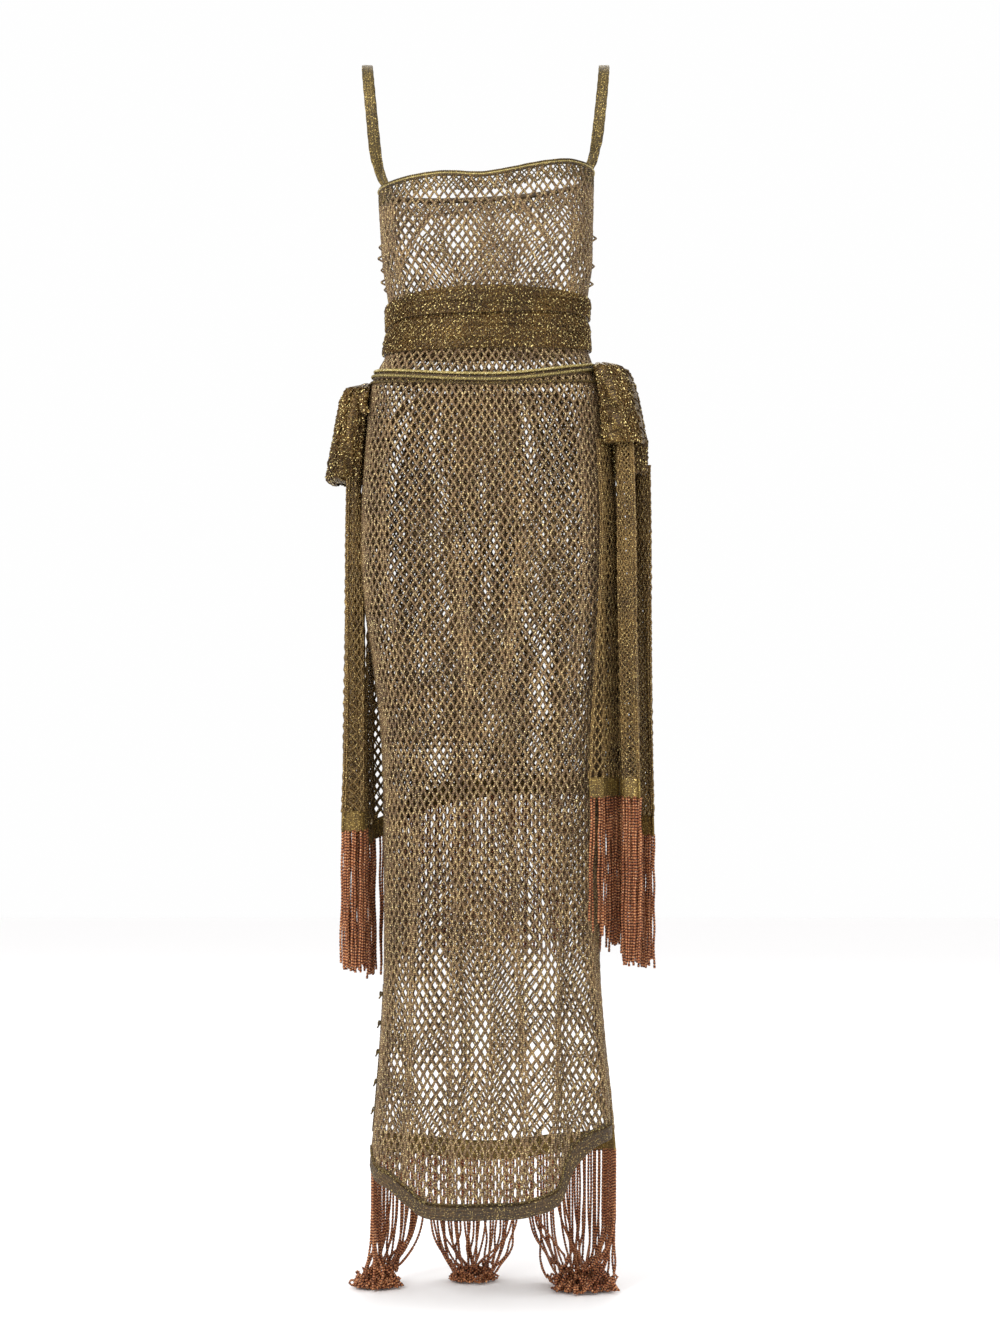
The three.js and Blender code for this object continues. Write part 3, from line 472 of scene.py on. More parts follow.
def yarn_tree():
    """Turns chains of edges into closed tubes of yarn. The points' thick scales the radius, and
    their shift moves the twist on."""
    tree = bpy.data.node_groups.new("yarn", "GeometryNodeTree")
    face = tree.interface
    for name, kind in [("Geometry", "Geometry"), ("Radius", "Float"), ("Sides", "Int"),
                       ("Turns per metre", "Float"), ("Material", "Material")]:
        face.new_socket(name, in_out="INPUT", socket_type="NodeSocket" + kind)
    face.new_socket("Geometry", in_out="OUTPUT", socket_type="NodeSocketGeometry")
    given = node(tree, "NodeGroupInput").outputs
    thick, shift = [node(tree, "GeometryNodeInputNamedAttribute", {"Name": name},
                         data_type="FLOAT") for name in ("thick", "shift")]
    length = node(tree, "GeometryNodeSplineParameter").outputs["Length"]
    run = node(tree, MATH, [length, shift])
    turns = node(tree, MATH, [run, given["Turns per metre"]], operation=TIMES)
    tilt = node(tree, MATH, [turns, TURN], operation=TIMES)
    curve = node(tree, "GeometryNodeMeshToCurve", {"Mesh": given["Geometry"]})
    curve = node(tree, "GeometryNodeSetCurveTilt", {"Curve": curve, "Tilt": tilt})
    curve = node(tree, "GeometryNodeStoreNamedAttribute", {
        "Geometry": curve, "Name": "run", "Value": run}, data_type="FLOAT")
    tube = node(tree, "GeometryNodeCurveToMesh", {
        "Curve": curve, "Fill Caps": True,
        "Profile Curve": node(tree, "GeometryNodeCurvePrimitiveCircle", {
            "Resolution": given["Sides"], "Radius": 1}),
        "Scale": node(tree, MATH, [given["Radius"], thick], operation=TIMES)})
    tube = node(tree, "GeometryNodeSetShadeSmooth", {"Geometry": tube})
    tube = node(tree, "GeometryNodeRealizeInstances", {"Geometry": tube})
    tube = node(tree, "GeometryNodeSetMaterial", {
        "Geometry": tube, "Material": given["Material"]})
    node(tree, "NodeGroupOutput", {"Geometry": tube})
    return tree


YARN = yarn_tree()
SOCKETS = {item.name: item.identifier for item in YARN.interface.items_tree
           if item.in_out == "INPUT"}


def mesh_of(name, points):
    """A mesh with vertices at points given in millimetres."""
    mesh = bpy.data.meshes.new(name)
    mesh.vertices.add(len(points))
    mesh.vertices.foreach_set("co", (points * MM).astype(np.float32).ravel())
    return mesh


def outward(mesh):
    """Turns a closed mesh's faces outwards."""
    mesh.calc_loop_triangles()
    corners = np.empty(len(mesh.loop_triangles) * 3, np.int32)
    mesh.loop_triangles.foreach_get("vertices", corners)
    points = np.empty(len(mesh.vertices) * 3)
    mesh.vertices.foreach_get("co", points)
    a, b, c = points.reshape(-1, 3)[corners.reshape(-1, 3)].transpose(1, 0, 2)
    if np.einsum("ij,ij->", a, np.cross(b, c)) < 0:
        mesh.flip_normals()


LONGEST_SHIFT = 9  # most that a strand's twist is moved on from its neighbour's


def yarn(name, paths, thick, radius, material, sides=4, turns=0.0):
    """Paths are arrays of points in millimetres; thick, where given, scales the radius at each
    point."""
    mesh = mesh_of(name, np.concatenate(paths))
    edges, start = [], 0
    for path in paths:
        k = np.arange(start, start + len(path) - 1)
        edges.append(np.stack([k, k + 1], -1))
        start += len(path)
    edges = np.concatenate(edges)
    mesh.edges.add(len(edges))
    mesh.edges.foreach_set("vertices", edges.astype(np.int32).ravel())
    shift = [np.full(len(path), rng.uniform(0, LONGEST_SHIFT) * MM) for path in paths]
    for key, values in [("thick", thick or [np.ones(len(path)) for path in paths]),
                        ("shift", shift)]:
        layer = mesh.attributes.new(key, "FLOAT", "POINT")
        layer.data.foreach_set("value", np.concatenate(values).astype(np.float32))
    mesh.update()
    piece = placed(name, mesh)
    modifier = piece.modifiers.new("yarn", "NODES")
    modifier.node_group = YARN
    for key, value in [("Radius", radius * MM), ("Sides", sides), ("Turns per metre", turns),
                       ("Material", material)]:
        modifier[SOCKETS[key]] = value
    bpy.context.view_layer.update()
    made = bpy.data.meshes.new_from_object(
        piece.evaluated_get(bpy.context.evaluated_depsgraph_get()))
    piece.modifiers.clear()
    piece.data = made
    bpy.data.meshes.remove(mesh)
    outward(made)
    return piece


# -------------------- nets

PAST_EDGE = 20  # how far a net's rows are laid out past its edges
KNOT_WIDTH = 0.225  # how far a strand runs to each side, in diamonds
ROW_WANDER = 0.03  # unevenness of the rows, as a share of a half row
SHORTEST_END = 0.6  # least distance of a knot from the net's edge


def rows_between(first, last, half_row):
    drops = [first]
    while drops[-1] < last:
        drops.append(drops[-1] + half_row(drops[-1]))
    return np.array(drops)


def net_paths(surface, cells, half_row, top, bottom, left, right, ring=False, meet=0.15,
              wander=0.02, relief=0.5, out=0.0, warp=None, shift=0.0):
    """Zigzag strands that meet their neighbours at every other row, as knots of a net do.
    top and bottom give drops by u, left and right give u by drop. meet is how long two strands
    lie together, as a share of a half row."""
    ends = np.linspace(0, 1, 60)
    if ring:
        around = ends * 360
    else:
        middle = 0.5 * (top(left(0)) + bottom(left(0)))
        around = lerp(left(middle), right(middle), ends)
    drops = rows_between(float(np.min(top(around))) - PAST_EDGE,
                         float(np.max(bottom(around))) + PAST_EDGE, half_row)
    height = np.gradient(drops)
    paths, thick = [], []
    for k in range(2 * cells + (0 if ring else 1)):
        j = np.arange(len(drops))
        sign = np.where((k + j) % 2 == 0, 1.0, -1.0)
        x = k / 2 + KNOT_WIDTH * sign + rng.normal(0, wander, len(j))
        if not ring:
            x = np.clip(x, 0, cells)
        wobble = rng.normal(0, ROW_WANDER, len(j)) * height
        if meet:
            d = np.stack([drops - meet * height, drops + meet * height], -1)
            d = (d + wobble[:, None]).ravel()
            x = np.repeat(x, 2)
        else:
            d = drops + wobble
        u = lerp(left(d), right(d), (x + shift) / cells)
        if warp:
            u = warp(u, d)
        inside = (d > top(u) + SHORTEST_END) & (d < bottom(u) - SHORTEST_END)
        if inside.sum() < 2:
            continue
        u, d = u[inside], d[inside]
        u = np.concatenate([u[:1], u, u[-1:]])
        d = np.concatenate([top(u[:1]), d, bottom(u[-1:])])
        side = out + relief * np.where(k % 2 == 0, 1.0, -1.0) * np.cos(np.arange(len(u)) * 1.9)
        paths.append(surface(u, d, side))
        thick.append(np.clip(rng.normal(1.0, 0.07, len(u)), 0.8, 1.2))
    return paths, thick


def ring_net(surface, cells, half_row, top, bottom, **settings):
    """Net all round a closed surface."""
    return net_paths(surface, cells, always(half_row), top, bottom, always(0), always(360),
                     ring=True, meet=0, **settings)


def net_over(surface, height, cells, half_row, inset, **settings):
    """Net all round a surface that is given by shares of its height."""
    return ring_net(lambda u, d, out=0.0: surface(u, d / height, out), cells, half_row,
                    always(inset), always(height - inset), **settings)


# -------------------- walls

def wall(name, outer, inner, material, cloth, ring=False):
    """A closed wall between two grids of points in millimetres, rows downwards. cloth gives the
    size in millimetres that the grid's columns and rows stand for, for the knitted pattern."""
    rows, columns = outer.shape[:2]
    index = np.arange(2 * rows * columns).reshape(2, rows, columns)
    if ring:
        index = np.concatenate([index, index[:, :, :1]], 2)

    def quads(a, b, c, d):
        return np.stack([a, b, c, d], -1).reshape(-1, 4)

    o, i = index
    faces = [quads(o[:-1, :-1], o[1:, :-1], o[1:, 1:], o[:-1, 1:]),
             quads(i[:-1, :-1], i[:-1, 1:], i[1:, 1:], i[1:, :-1]),
             quads(o[0, :-1], o[0, 1:], i[0, 1:], i[0, :-1]),
             quads(o[-1, :-1], i[-1, :-1], i[-1, 1:], o[-1, 1:])]
    if not ring:
        faces += [quads(o[:-1, 0], i[:-1, 0], i[1:, 0], o[1:, 0]),
                  quads(o[:-1, -1], o[1:, -1], i[1:, -1], i[:-1, -1])]
    faces = np.concatenate(faces)
    mesh = mesh_of(name, np.concatenate([outer.reshape(-1, 3), inner.reshape(-1, 3)]))
    mesh.loops.add(faces.size)
    mesh.loops.foreach_set("vertex_index", faces.astype(np.int32).ravel())
    mesh.polygons.add(len(faces))
    mesh.polygons.foreach_set("loop_start", np.arange(0, faces.size, 4, dtype=np.int32))
    mesh.polygons.foreach_set("use_smooth", np.ones(len(faces), bool))
    mesh.update(calc_edges=True)
    width, height = cloth
    laid = np.meshgrid(np.linspace(0, width, columns) * MM, np.linspace(0, height, rows) * MM)
    flat = np.tile(np.stack(laid, -1).reshape(-1, 2), (2, 1))
    layer = mesh.uv_layers.new(name="cloth")
    layer.data.foreach_set("uv", flat[faces.ravel()].astype(np.float32).ravel())
    mesh.materials.append(material)
    outward(mesh)
    return placed(name, mesh)


def grid(columns, rows, left, right, top, bottom):
    """u and drop of a panel's grid, rows downwards, and its shares across and down."""
    v = np.linspace(0, 1, rows + 1)[:, None]
    t = np.linspace(0, 1, columns + 1)[None, :]
    u = lerp(*[end(lerp(top(end(0.0)), bottom(end(0.0)), v)) for end in (left, right)], t)
    return u, lerp(top(u), bottom(u), v), t + 0 * v, v + 0 * t


def always(value):
    return lambda at: value + 0 * np.asarray(at, float)


def edge(table):
    return lambda at: smooth(table, at)


# -------------------- placing pieces on the body

def finished(piece, slot, nodes=(), **cut):
    """Rides a piece on the body and hides the imported parts that it stands for, named by nodes.
    slot, its finish, and cut, for a cut of cloth its flat size, how it is held and what it
    rests on, are not used."""
    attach(piece, "root")
    if nodes:
        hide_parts(*nodes)


# -------------------- net panels

neck = edge(NECK_EDGE)
apron_hem = edge(APRON_HEM)
back_hem = edge(BACK_HEM)
SEAM_ANGLE = math.degrees(SEAM / 2 / 130)  # half a seam, on a body of that radius


def apron_top(u):
    """The binding's upper edge: it keeps its width square to the curved hem."""
    run = np.linalg.norm(body(u + 1, HEM_LEVEL) - body(u - 1, HEM_LEVEL), axis=-1)
    rise = apron_hem(np.clip(u + 1, 180, 360)) - apron_hem(np.clip(u - 1, 180, 360))
    return apron_hem(u) - APRON_BINDING * np.minimum(np.hypot(1, rise / run), STEEPEST)


def side_edge(seam, sign, panel):
    """A skirt panel's edge by drop: along a side seam, then away from it at the slit."""
    return lambda drop: seam + sign * SEAM_ANGLE + sign * SLIT_OPENING[panel] * step(
        drop, SLIT, SLIT_FULL)


apron_left, apron_right = side_edge(180, 1, "front_left"), side_edge(360, -1, "front_right")
back_left, back_right = side_edge(0, 1, "back"), side_edge(180, -1, "back")


def net_row(drop):
    """Half the height of a diamond: the net hangs longer lower down."""
    return np.interp(drop, [150, 360, 700, 1300], [6.9, 7.0, 7.8, 8.5])


STRAND = 1.8  # radius of the nets' strands
BODICE_NETS = ["bodice_front_net", "bodice_back_net"]
SKIRT_NETS = ["skirt_front_net", "skirt_back_net"]


def net_panel(name, cells, top, bottom, left, right, sides, **cut):
    """A panel of cells diamonds of net across, of yarn with so many sides."""
    net = net_paths(dress, cells, net_row, top, bottom, left, right, meet=0, warp=drawn_together)
    finished(yarn(name + "_net", *net, STRAND, NET_YARN, sides=sides), "net", [name], **cut)


for name, left, right, sides, width, area in (("bodice_front", 180.3, 359.7, 6, 0.36, 0.080),
                                              ("bodice_back", 0.3, 179.7, 4, 0.35, 0.075)):
    net_panel(name, 32, lambda u: neck(u) + 3, always(HIP_SEAM), always(left), always(right),
              sides, flat=(width, 0.24), held="stretched", area=area,
              rests_on=["neck_binding", "hip_cord_upper"])
net_panel("skirt_front", 38, always(HIP_SEAM), lambda u: apron_top(u) + 1, apron_left,
          apron_right, 5, flat=(0.42, 0.98), held="hung", area=0.355,
          rests_on=["bodice_front_net"])
net_panel("skirt_back", 36, always(HIP_SEAM), lambda u: back_hem(u) - HEM_BAND + 1,
          back_left, back_right, 4, flat=(0.42, 0.95), held="hung", area=0.358,
          rests_on=["bodice_back_net"])


def seam_loops():
    """Small loose loops of the net's yarn that stand out at the waist, by the side seams."""
    paths = []
    for seam, drops in ((181, (216, 229, 243, 257, 266)), (359, (205, 238, 259))):
        for k, drop in enumerate(drops):
            t = np.linspace(0, 1, 12)
            out = (4.5 + 1.2 * math.sin(3 * k + seam)) * np.sin(math.pi * t)
            height = drop - 3.4 * np.cos(math.pi * t) + 1.2 * np.sin(TURN * t)
            paths.append(dress(seam + 0.6 * np.sin(TURN * t), height, 0.6 + out))
    finished(yarn("seam_loops", paths, None, 1.2, NET_YARN), "net")


seam_loops()

# -------------------- neck binding and straps

def around(path, turn, radius, pitch, plies, spacing=1.1):
    """Plies wound round a path, with points at a spacing. turn is the outward direction."""
    total = run_along(path)
    at = np.linspace(0, total[-1], int(total[-1] / spacing))
    points, out = [np.stack([np.interp(at, total, rows[:, k]) for k in range(3)], -1)
                   for rows in (path, turn)]
    out, up = square_to(points, out)
    whole = round(total[-1] / pitch)
    paths = []
    for ply in range(plies):
        turns = TURN * (at / total[-1] * whole + ply / plies)
        paths.append(points + radius * (np.cos(turns)[:, None] * out
                                        + np.sin(turns)[:, None] * up))
    return paths


def cord(name, line, winding, radius, material, slot, nodes=(), sides=4):
    """A twisted cord along a line, wound to a radius, a pitch and a number of plies."""
    finished(yarn(name, around(*line, *winding), None, radius, material, sides=sides), slot,
             nodes)


def neck_trim():
    angle, v = ring_grid(360, 6)
    drop = neck(angle) + lerp(-3, 3, v)
    swell = 2.0 * np.sqrt(np.clip(1 - (2 * v - 1) ** 2, 0, 1))
    uneven = 0.25 * np.sin(angle / 360 * TURN * 170)
    piece = wall("neck_roll", body(angle, drop, swell + uneven), body(angle, drop, -swell - 0.3),
                 BINDING, (760, 6), ring=True)
    finished(piece, "binding", ["neck_binding"], flat=(0.74, 0.011), area=0.0063, held="folded",
             rests_on=BODICE_NETS)
    for name, above, off, radius, material, slot in (
            ("neck_piping", 0.4, 2.2, 0.62, PIPING, "piping"),
            ("neck_edge", 2.6, 0.9, 0.8, STITCHING, "binding")):
        cord(name, ring_path(lambda u: neck(u) - above, off), (0.5, 5.2, 2), radius, material,
             slot)
    net = ring_net(body, 118, 2.9, lambda u: neck(u) + 1.5, lambda u: neck(u) + 19, wander=0.06,
                   out=0.7)
    finished(yarn("neck_gathers", *net, 1.05, STITCHING), "binding")


neck_trim()


def through(points, count):
    """A centripetal Catmull-Rom curve through the points."""
    p = np.array([2 * points[0] - points[1], *points, 2 * points[-1] - points[-2]])
    made = []
    spans = len(points) - 1
    for s in np.linspace(0, spans, count):
        k = min(int(s), spans - 1)
        t, four = s - k, p[k:k + 4]
        knots = np.concatenate([[0], np.cumsum(
            np.linalg.norm(np.diff(four, axis=0), axis=1) ** 0.5)])
        at = lerp(knots[1], knots[2], t)
        layer = [four[i] for i in range(4)]
        for width in (1, 2):
            layer = [
                ((knots[i + width] - at) * layer[i] + (at - knots[i]) * layer[i + 1])
                / (knots[i + width] - knots[i]) for i in range(4 - width)]
        made.append(((knots[2] - at) * layer[0] + (at - knots[1]) * layer[1])
                    / (knots[2] - knots[1]))
    return np.array(made)


def strap(name, foot, lift, route, turns):
    """A ribbed tape from the front of the neck binding over the shoulder to its back."""
    ends = [body(a, neck(a) - 3 - high) for a, high in zip(foot, lift)]
    middle = [np.array([x, y, -drop], float) for x, y, drop in route]
    path = through(np.array([ends[0], *middle, ends[1]]), STRAP_STEPS)
    turn = np.interp(np.linspace(0, len(turns) - 1, STRAP_STEPS), range(len(turns)), turns)
    side, up = square_to(path, bearing(turn))
    place = np.linspace(-1, 1, 17)
    ribs = np.abs(np.cos(place * math.pi * STRAP_RIBS / 2))
    ridge = STRAP_THICKNESS / 2 * (0.72 + 0.28 * ribs) * np.sqrt(1 - 0.75 * place ** 8)
    across = place[None, :, None] * side[:, None, :] * STRAP_WIDTH / 2
    face = ridge[None, :, None] * up[:, None, :]
    sway = 0.2 * np.sin(np.arange(STRAP_STEPS) * 1.7)[:, None, None] * side[:, None, :]
    middle = path[:, None, :] + across + sway
    piece = wall(name + "_tape", middle + face, middle - face, STRAP_KNIT, (STRAP_WIDTH, 330))
    finished(piece, "band", [name], flat=(0.012, 0.33), held="hung", rests_on=["neck_roll"])


for name, spec in STRAPS.items():
    strap(name, **spec)


# -------------------- sash round the waist

def wrap_surface(upper, lower, off, bulge, lip, creases):
    """A folded stretch of sash between two edges, as a function of angle and share v. lip is how
    far its upper and lower edges stand out, or lie back under what folds over them."""
    top, bottom = edge(upper), edge(lower)

    def surface(angle, v, out=0.0):
        drop = lerp(top(angle % 360) + SEAM / 2, bottom(angle % 360) - SEAM / 2, v)
        near_top, near_bottom = np.exp(-((v / 0.14) ** 2)), np.exp(-(((1 - v) / 0.14) ** 2))
        rise = off + SASH + bulge * np.sin(math.pi * np.clip(v, 0, 1)) ** 0.7
        rise = rise + lip[0] * near_top + lip[1] * near_bottom
        for start, drift, depth, width, phase, middle_at, spread in creases:
            middle = start + drift * np.sin(np.radians(angle) + phase)
            across = (v - middle) / width
            strength = depth * np.exp(-(apart(angle, middle_at) / spread) ** 2)
            fold = 0.55 * np.exp(-(across + 1.5) ** 2) - np.exp(-across ** 2)
            rise = rise + strength * fold
        return body(angle, drop, rise + out)
    return surface


# each wrap's creases: place across the wrap, drift, depth, width, phase, and where round the
# body it is deepest and how far it runs
WRAPS = [
    ("sash_wrap_upper", WRAP_EDGES[0], WRAP_EDGES[1], 1.8, (-0.4, 1.6),
     [(0.30, 0.10, 2.0, 0.05, 0.4, 215, 34), (0.55, 0.16, 2.2, 0.05, 2.0, 250, 30),
      (0.42, 0.12, 2.0, 0.05, 4.1, 318, 30), (0.72, 0.10, 1.8, 0.05, 1.0, 300, 26),
      (0.4, 0.1, 2.0, 0.05, 0.7, 20, 40), (0.6, 0.1, 2.0, 0.05, 2.4, 90, 50),
      (0.35, 0.1, 2.0, 0.05, 3.0, 150, 34)]),
    ("sash_wrap_lower", WRAP_EDGES[1], WRAP_EDGES[2], 2.8, (-2.4, 0.2),
     [(0.34, 0.10, 2.2, 0.04, 1.2, 222, 32), (0.60, 0.10, 2.6, 0.04, 3.0, 205, 44),
      (0.46, 0.12, 2.4, 0.04, 0.2, 285, 36), (0.74, 0.07, 2.2, 0.04, 5.0, 262, 30),
      (0.58, 0.08, 2.4, 0.04, 4.0, 332, 30), (0.4, 0.1, 2.2, 0.04, 0.3, 40, 44),
      (0.7, 0.08, 2.2, 0.04, 2.0, 100, 50), (0.45, 0.1, 2.2, 0.04, 1.0, 150, 34)]),
]


def sash():
    for name, upper, lower, bulge, lip, creases in WRAPS:
        surface = wrap_surface(upper, lower, 1.2, bulge, lip, creases)
        angle, v = ring_grid(210, 24)
        outer = surface(angle, v, -0.9 - 0.5 * (2 * v - 1) ** 8)
        inner = outer.copy()
        inside = body(angle, -outer[..., 2], 1.6)
        inner[..., :2] = inside[..., :2]
        piece = wall(name + "_folds", outer, inner, SASH_CLOTH, (660, 38), ring=True)
        height = float(np.mean(smooth(lower, angle) - smooth(upper, angle)))
        finished(piece, "sash", [name], flat=(0.66, height * MM * 1.12), held="folded",
                 rests_on=BODICE_NETS)
        net = net_over(surface, height, 96, 2.5, 0.4, wander=0.12)
        finished(yarn(name + "_net", *net, 1.05, SASH_YARN), "sash", held="folded",
                 flat=(0.66, height * MM * 1.3), rests_on=[name + "_folds"])


sash()


def hip_line(angle, left, front, right, back):
    """The drop of a line round the hips, from its drops at the four sides."""
    c, s = np.cos(np.radians(angle)), np.sin(np.radians(angle))
    return lerp(np.where(s > 0, back, front), np.where(c > 0, right, left), c ** 2)


def hip_cords():
    for material, (name, drops) in zip((PIPING, PIPING_LOW), CORDS.items()):
        line = ring_path(
            lambda u: hip_line(u, **drops) + 0.25 * np.sin(np.radians(u * 5)), 3.8)
        cord(name + "_plies", line, (0.85, 8.0, 3), 1.0, material, "piping", [name])
    # the olive band that both cords are sewn on
    angle, v = ring_grid(360, 4)
    drop = hip_line(angle, 368, 376.5, 361, 369) + lerp(-3, 5.5, v)
    piece = wall("hip_band", body(angle, drop, 2.6 - (2 * v - 1) ** 4), body(angle, drop, 1.2),
                 BINDING, (780, 9), ring=True)
    finished(piece, "binding", flat=(0.78, 0.01), held="hung", rests_on=SKIRT_NETS)
    # the seam under the cords: a narrow gathered roll of the dark stitching yarn, which also
    # stands in as painted shadow under the cords
    path, out = ring_path(always(HIP_SEAM + 13), 1.9)
    path[:, 2] = -hip_line(np.linspace(0, 360, RING_STEPS), 374, 381, 374, 381) - 2.5
    cord("hip_seam_shadow_roll", (path, out), (0.9, 6.0, 2), 1.1, STITCHING, "binding")


hip_cords()

# -------------------- bindings and bands

OVERLOCK_STITCHES = 620  # along the binding's upper edge
BAND_RIB = 6.0  # width of a knitted rib of the bands


def front_hem():
    left = always(float(apron_left(apron_top(180.0) - SEAM)))
    right = always(float(apron_right(apron_top(360.0) - SEAM)))
    u, drop, t, v = grid(260, 18, left, right, apron_top, apron_hem)
    rolls = 0.9 * np.abs(np.cos(math.pi * v * 3)) ** 0.6
    rolls = rolls * np.sqrt(np.clip(1.02 - (2 * v - 1) ** 6, 0, 1))
    uneven = 0.3 * np.sin(t * 300) * np.sin(v * 9)
    piece = wall("front_hem_rolls", dress(u, drop, 1.2 + rolls + uneven), dress(u, drop, -1.6),
                 BINDING, (520, APRON_BINDING))
    finished(piece, "binding", ["front_hem_binding"], flat=(0.52, 0.022), held="folded",
             rests_on=["skirt_front_net"])
    # overlock stitches along the binding's upper edge, dark with gold loops
    angle = np.linspace(float(left(0)), float(right(0)), OVERLOCK_STITCHES)
    zigzag = 1.6 * np.where(np.arange(OVERLOCK_STITCHES) % 2 == 0, 1, -1)
    stitch = dress(angle, apron_top(angle) + 1.4 + zigzag, 2.6)
    ridge = dress(angle, apron_top(angle) + 0.2, 2.2)
    finished(yarn("front_hem_stitches", [stitch], None, 0.8, SASH_YARN), "binding")
    finished(yarn("front_hem_edge", [ridge], None, 1.3, STITCHING), "binding")


front_hem()


def knitted_band(name, node_name, surface, left, right, hem, columns, cloth_width, **cut):
    """A dense ribbed band along a hem, from its angle or share left to right."""
    u, drop, t, v = grid(columns, 10, always(left), always(right), lambda a: hem(a) - HEM_BAND,
                         hem)
    ribs = 0.35 * np.cos(TURN * t * cloth_width / BAND_RIB)
    edges = 0.5 * (2 * v - 1) ** 8
    outer = surface(u, drop, BAND / 2 - 0.4 + ribs - edges)
    inner = surface(u, drop, -BAND / 2 + 0.4 + ribs + edges)
    piece = wall(name, outer, inner, BAND_KNIT, (cloth_width, HEM_BAND))
    finished(piece, "band", [node_name], **cut)


knitted_band("back_hem_band", "skirt_back_band", dress, *BACK_ENDS, back_hem, 300, 470,
             flat=(0.47, 0.024), held="hung", rests_on=["skirt_back_net"])


def slit_tapes():
    def ridges(t, v):
        return 0.9 * np.abs(np.sin(TURN * t)) ** 0.7 + 0.2 * np.sin(v * 260)

    u, drop, t, v = grid(10, 90, lambda d: back_right(d) - 3.4, back_right, always(SLIT),
                         lambda a: back_hem(a) - HEM_BAND - SEAM)
    walls = {"left": (dress(u, drop, 2.0 + ridges(t, v)), dress(u, drop, 1.5 + 0 * v))}
    # the right tape is turned inwards at the slit, so that its flat side faces the front
    drop = np.linspace(SLIT, float(back_hem(0)) - HEM_BAND - SEAM, 91)[:, None] + np.zeros((1, 11))
    t, v = np.linspace(1, 0, 11)[None, :] + 0 * drop, np.linspace(0, 1, 91)[:, None] + 0 * drop
    flat = moved_out(dress, back_left(drop), drop, -1.9 - 7.6 * t)
    half = np.array([0.0, 0.35, 0.0])
    face = np.array([0.0, -1.0, 0.0]) * ridges(t, v)[..., None]
    walls["right"] = (flat + face - half, flat + half)
    for side, (outer, inner) in walls.items():
        piece = wall("slit_tape_" + side + "_knit", outer, inner, BINDING, (8, 180))
        finished(piece, "binding", ["slit_tape_" + side], flat=(0.01, 0.18), held="hung",
                 rests_on=["skirt_back_net"])


slit_tapes()


def thread_knots():
    for k, drop in enumerate(KNOT_DROPS):
        angle = float(apron_left(drop)) + 1.2
        centre = moved_out(dress, np.array(angle), np.array(float(drop)), np.array(3.2))
        t = np.linspace(0, TURN, 26)
        bow = np.stack([2.2 * np.sin(t), 1.0 * np.cos(2 * t), 2.6 * np.sin(2 * t + 0.4 * k)], -1)
        tail = np.linspace((0, 0, 0), (-3.5, -1.2, -5.5), 8)
        paths = [centre + bow, centre + tail, centre + tail * np.array([-0.6, 1.0, 0.8])]
        piece = yarn("thread_knot_tied_" + str(k + 1), paths, None, 0.95, STITCHING, sides=6)
        finished(piece, "binding", ["thread_knot_" + str(k + 1)])


thread_knots()


# -------------------- knots at the hips

LID, LID_LEAST = 0.05, 0.36  # how far down a puff is drawn shut, and how small its top is
BRIM, BRIM_DEPTH = 0.93, 0.07  # from where its lower edge draws in, and over how much height


def puff(first, last, top, bottom, off, reach, crown, flat, rib_count, sway, square, rise,
         close):
    """A drooping loop of gathered net, hollow and open below. Its sections are rings that lie
    on the body with one side; u goes round them, v from the tied top to the open bottom."""
    def surface(u, v, out=0.0):
        turn = np.radians(u)
        drop = lerp(top, bottom, v) + rise * np.sin(3 * turn + 1) * np.clip(v, 0, 1) ** 3
        full = np.sqrt(np.clip(1 - (1 - np.clip(v / crown, 0, 1)) ** 2, 0, 1))
        lid = np.clip(v / LID, LID_LEAST, 1)
        deep = lerp(*reach, v) * lerp(flat, 1, full) * lid / 2
        shut = 1 - close * np.clip((v - BRIM) / BRIM_DEPTH, 0, 1) ** 2
        across = (last - first) / 2 * (0.8 + 0.2 * full) * lid
        c, s = np.cos(turn), np.sin(turn)
        c, s = np.sign(c) * np.abs(c) ** (2 / square), np.sign(s) * np.abs(s) ** (2 / square)
        rib = 1 - 0.05 * (1 + np.cos(rib_count * turn + sway * v + 0.7 * np.sin(2 * turn)))
        lumps = np.sin(13 * turn + 29 * v) * np.sin(7 * turn - 37 * v)
        rib = rib + 0.03 * lumps + 0.02 * np.sin(23 * turn - 17 * v)
        radial = off + 1.5 + deep + (deep * rib * shut + out) * c
        angle = (first + last) / 2 + (across * rib * shut + out / 2.4) * s
        return body(angle, drop, radial)
    return surface


# name, shape, diamonds of net round it and its height
PUFFS = [
    ("knot_left_loop", dict(
        first=160, last=190, top=376, bottom=495, off=1.6, reach=(31, 43), crown=0.2, flat=0.62,
        rib_count=9, sway=2.6, square=4, rise=1.6, close=0.5), 24, 119),
    ("knot_right_loop", dict(
        first=-25, last=8, top=354, bottom=449, off=7.6, reach=(31, 43), crown=0.12, flat=0.86,
        rib_count=6, sway=-1.0, square=6.5, rise=0.8, close=0.06), 24, 95),
    ("knot_right_lobe", dict(
        first=-12, last=14, top=432, bottom=485, off=5, reach=(47, 42), crown=0.3, flat=0.62,
        rib_count=7, sway=1.6, square=3.6, rise=1.6, close=0.2), 16, 54),
]


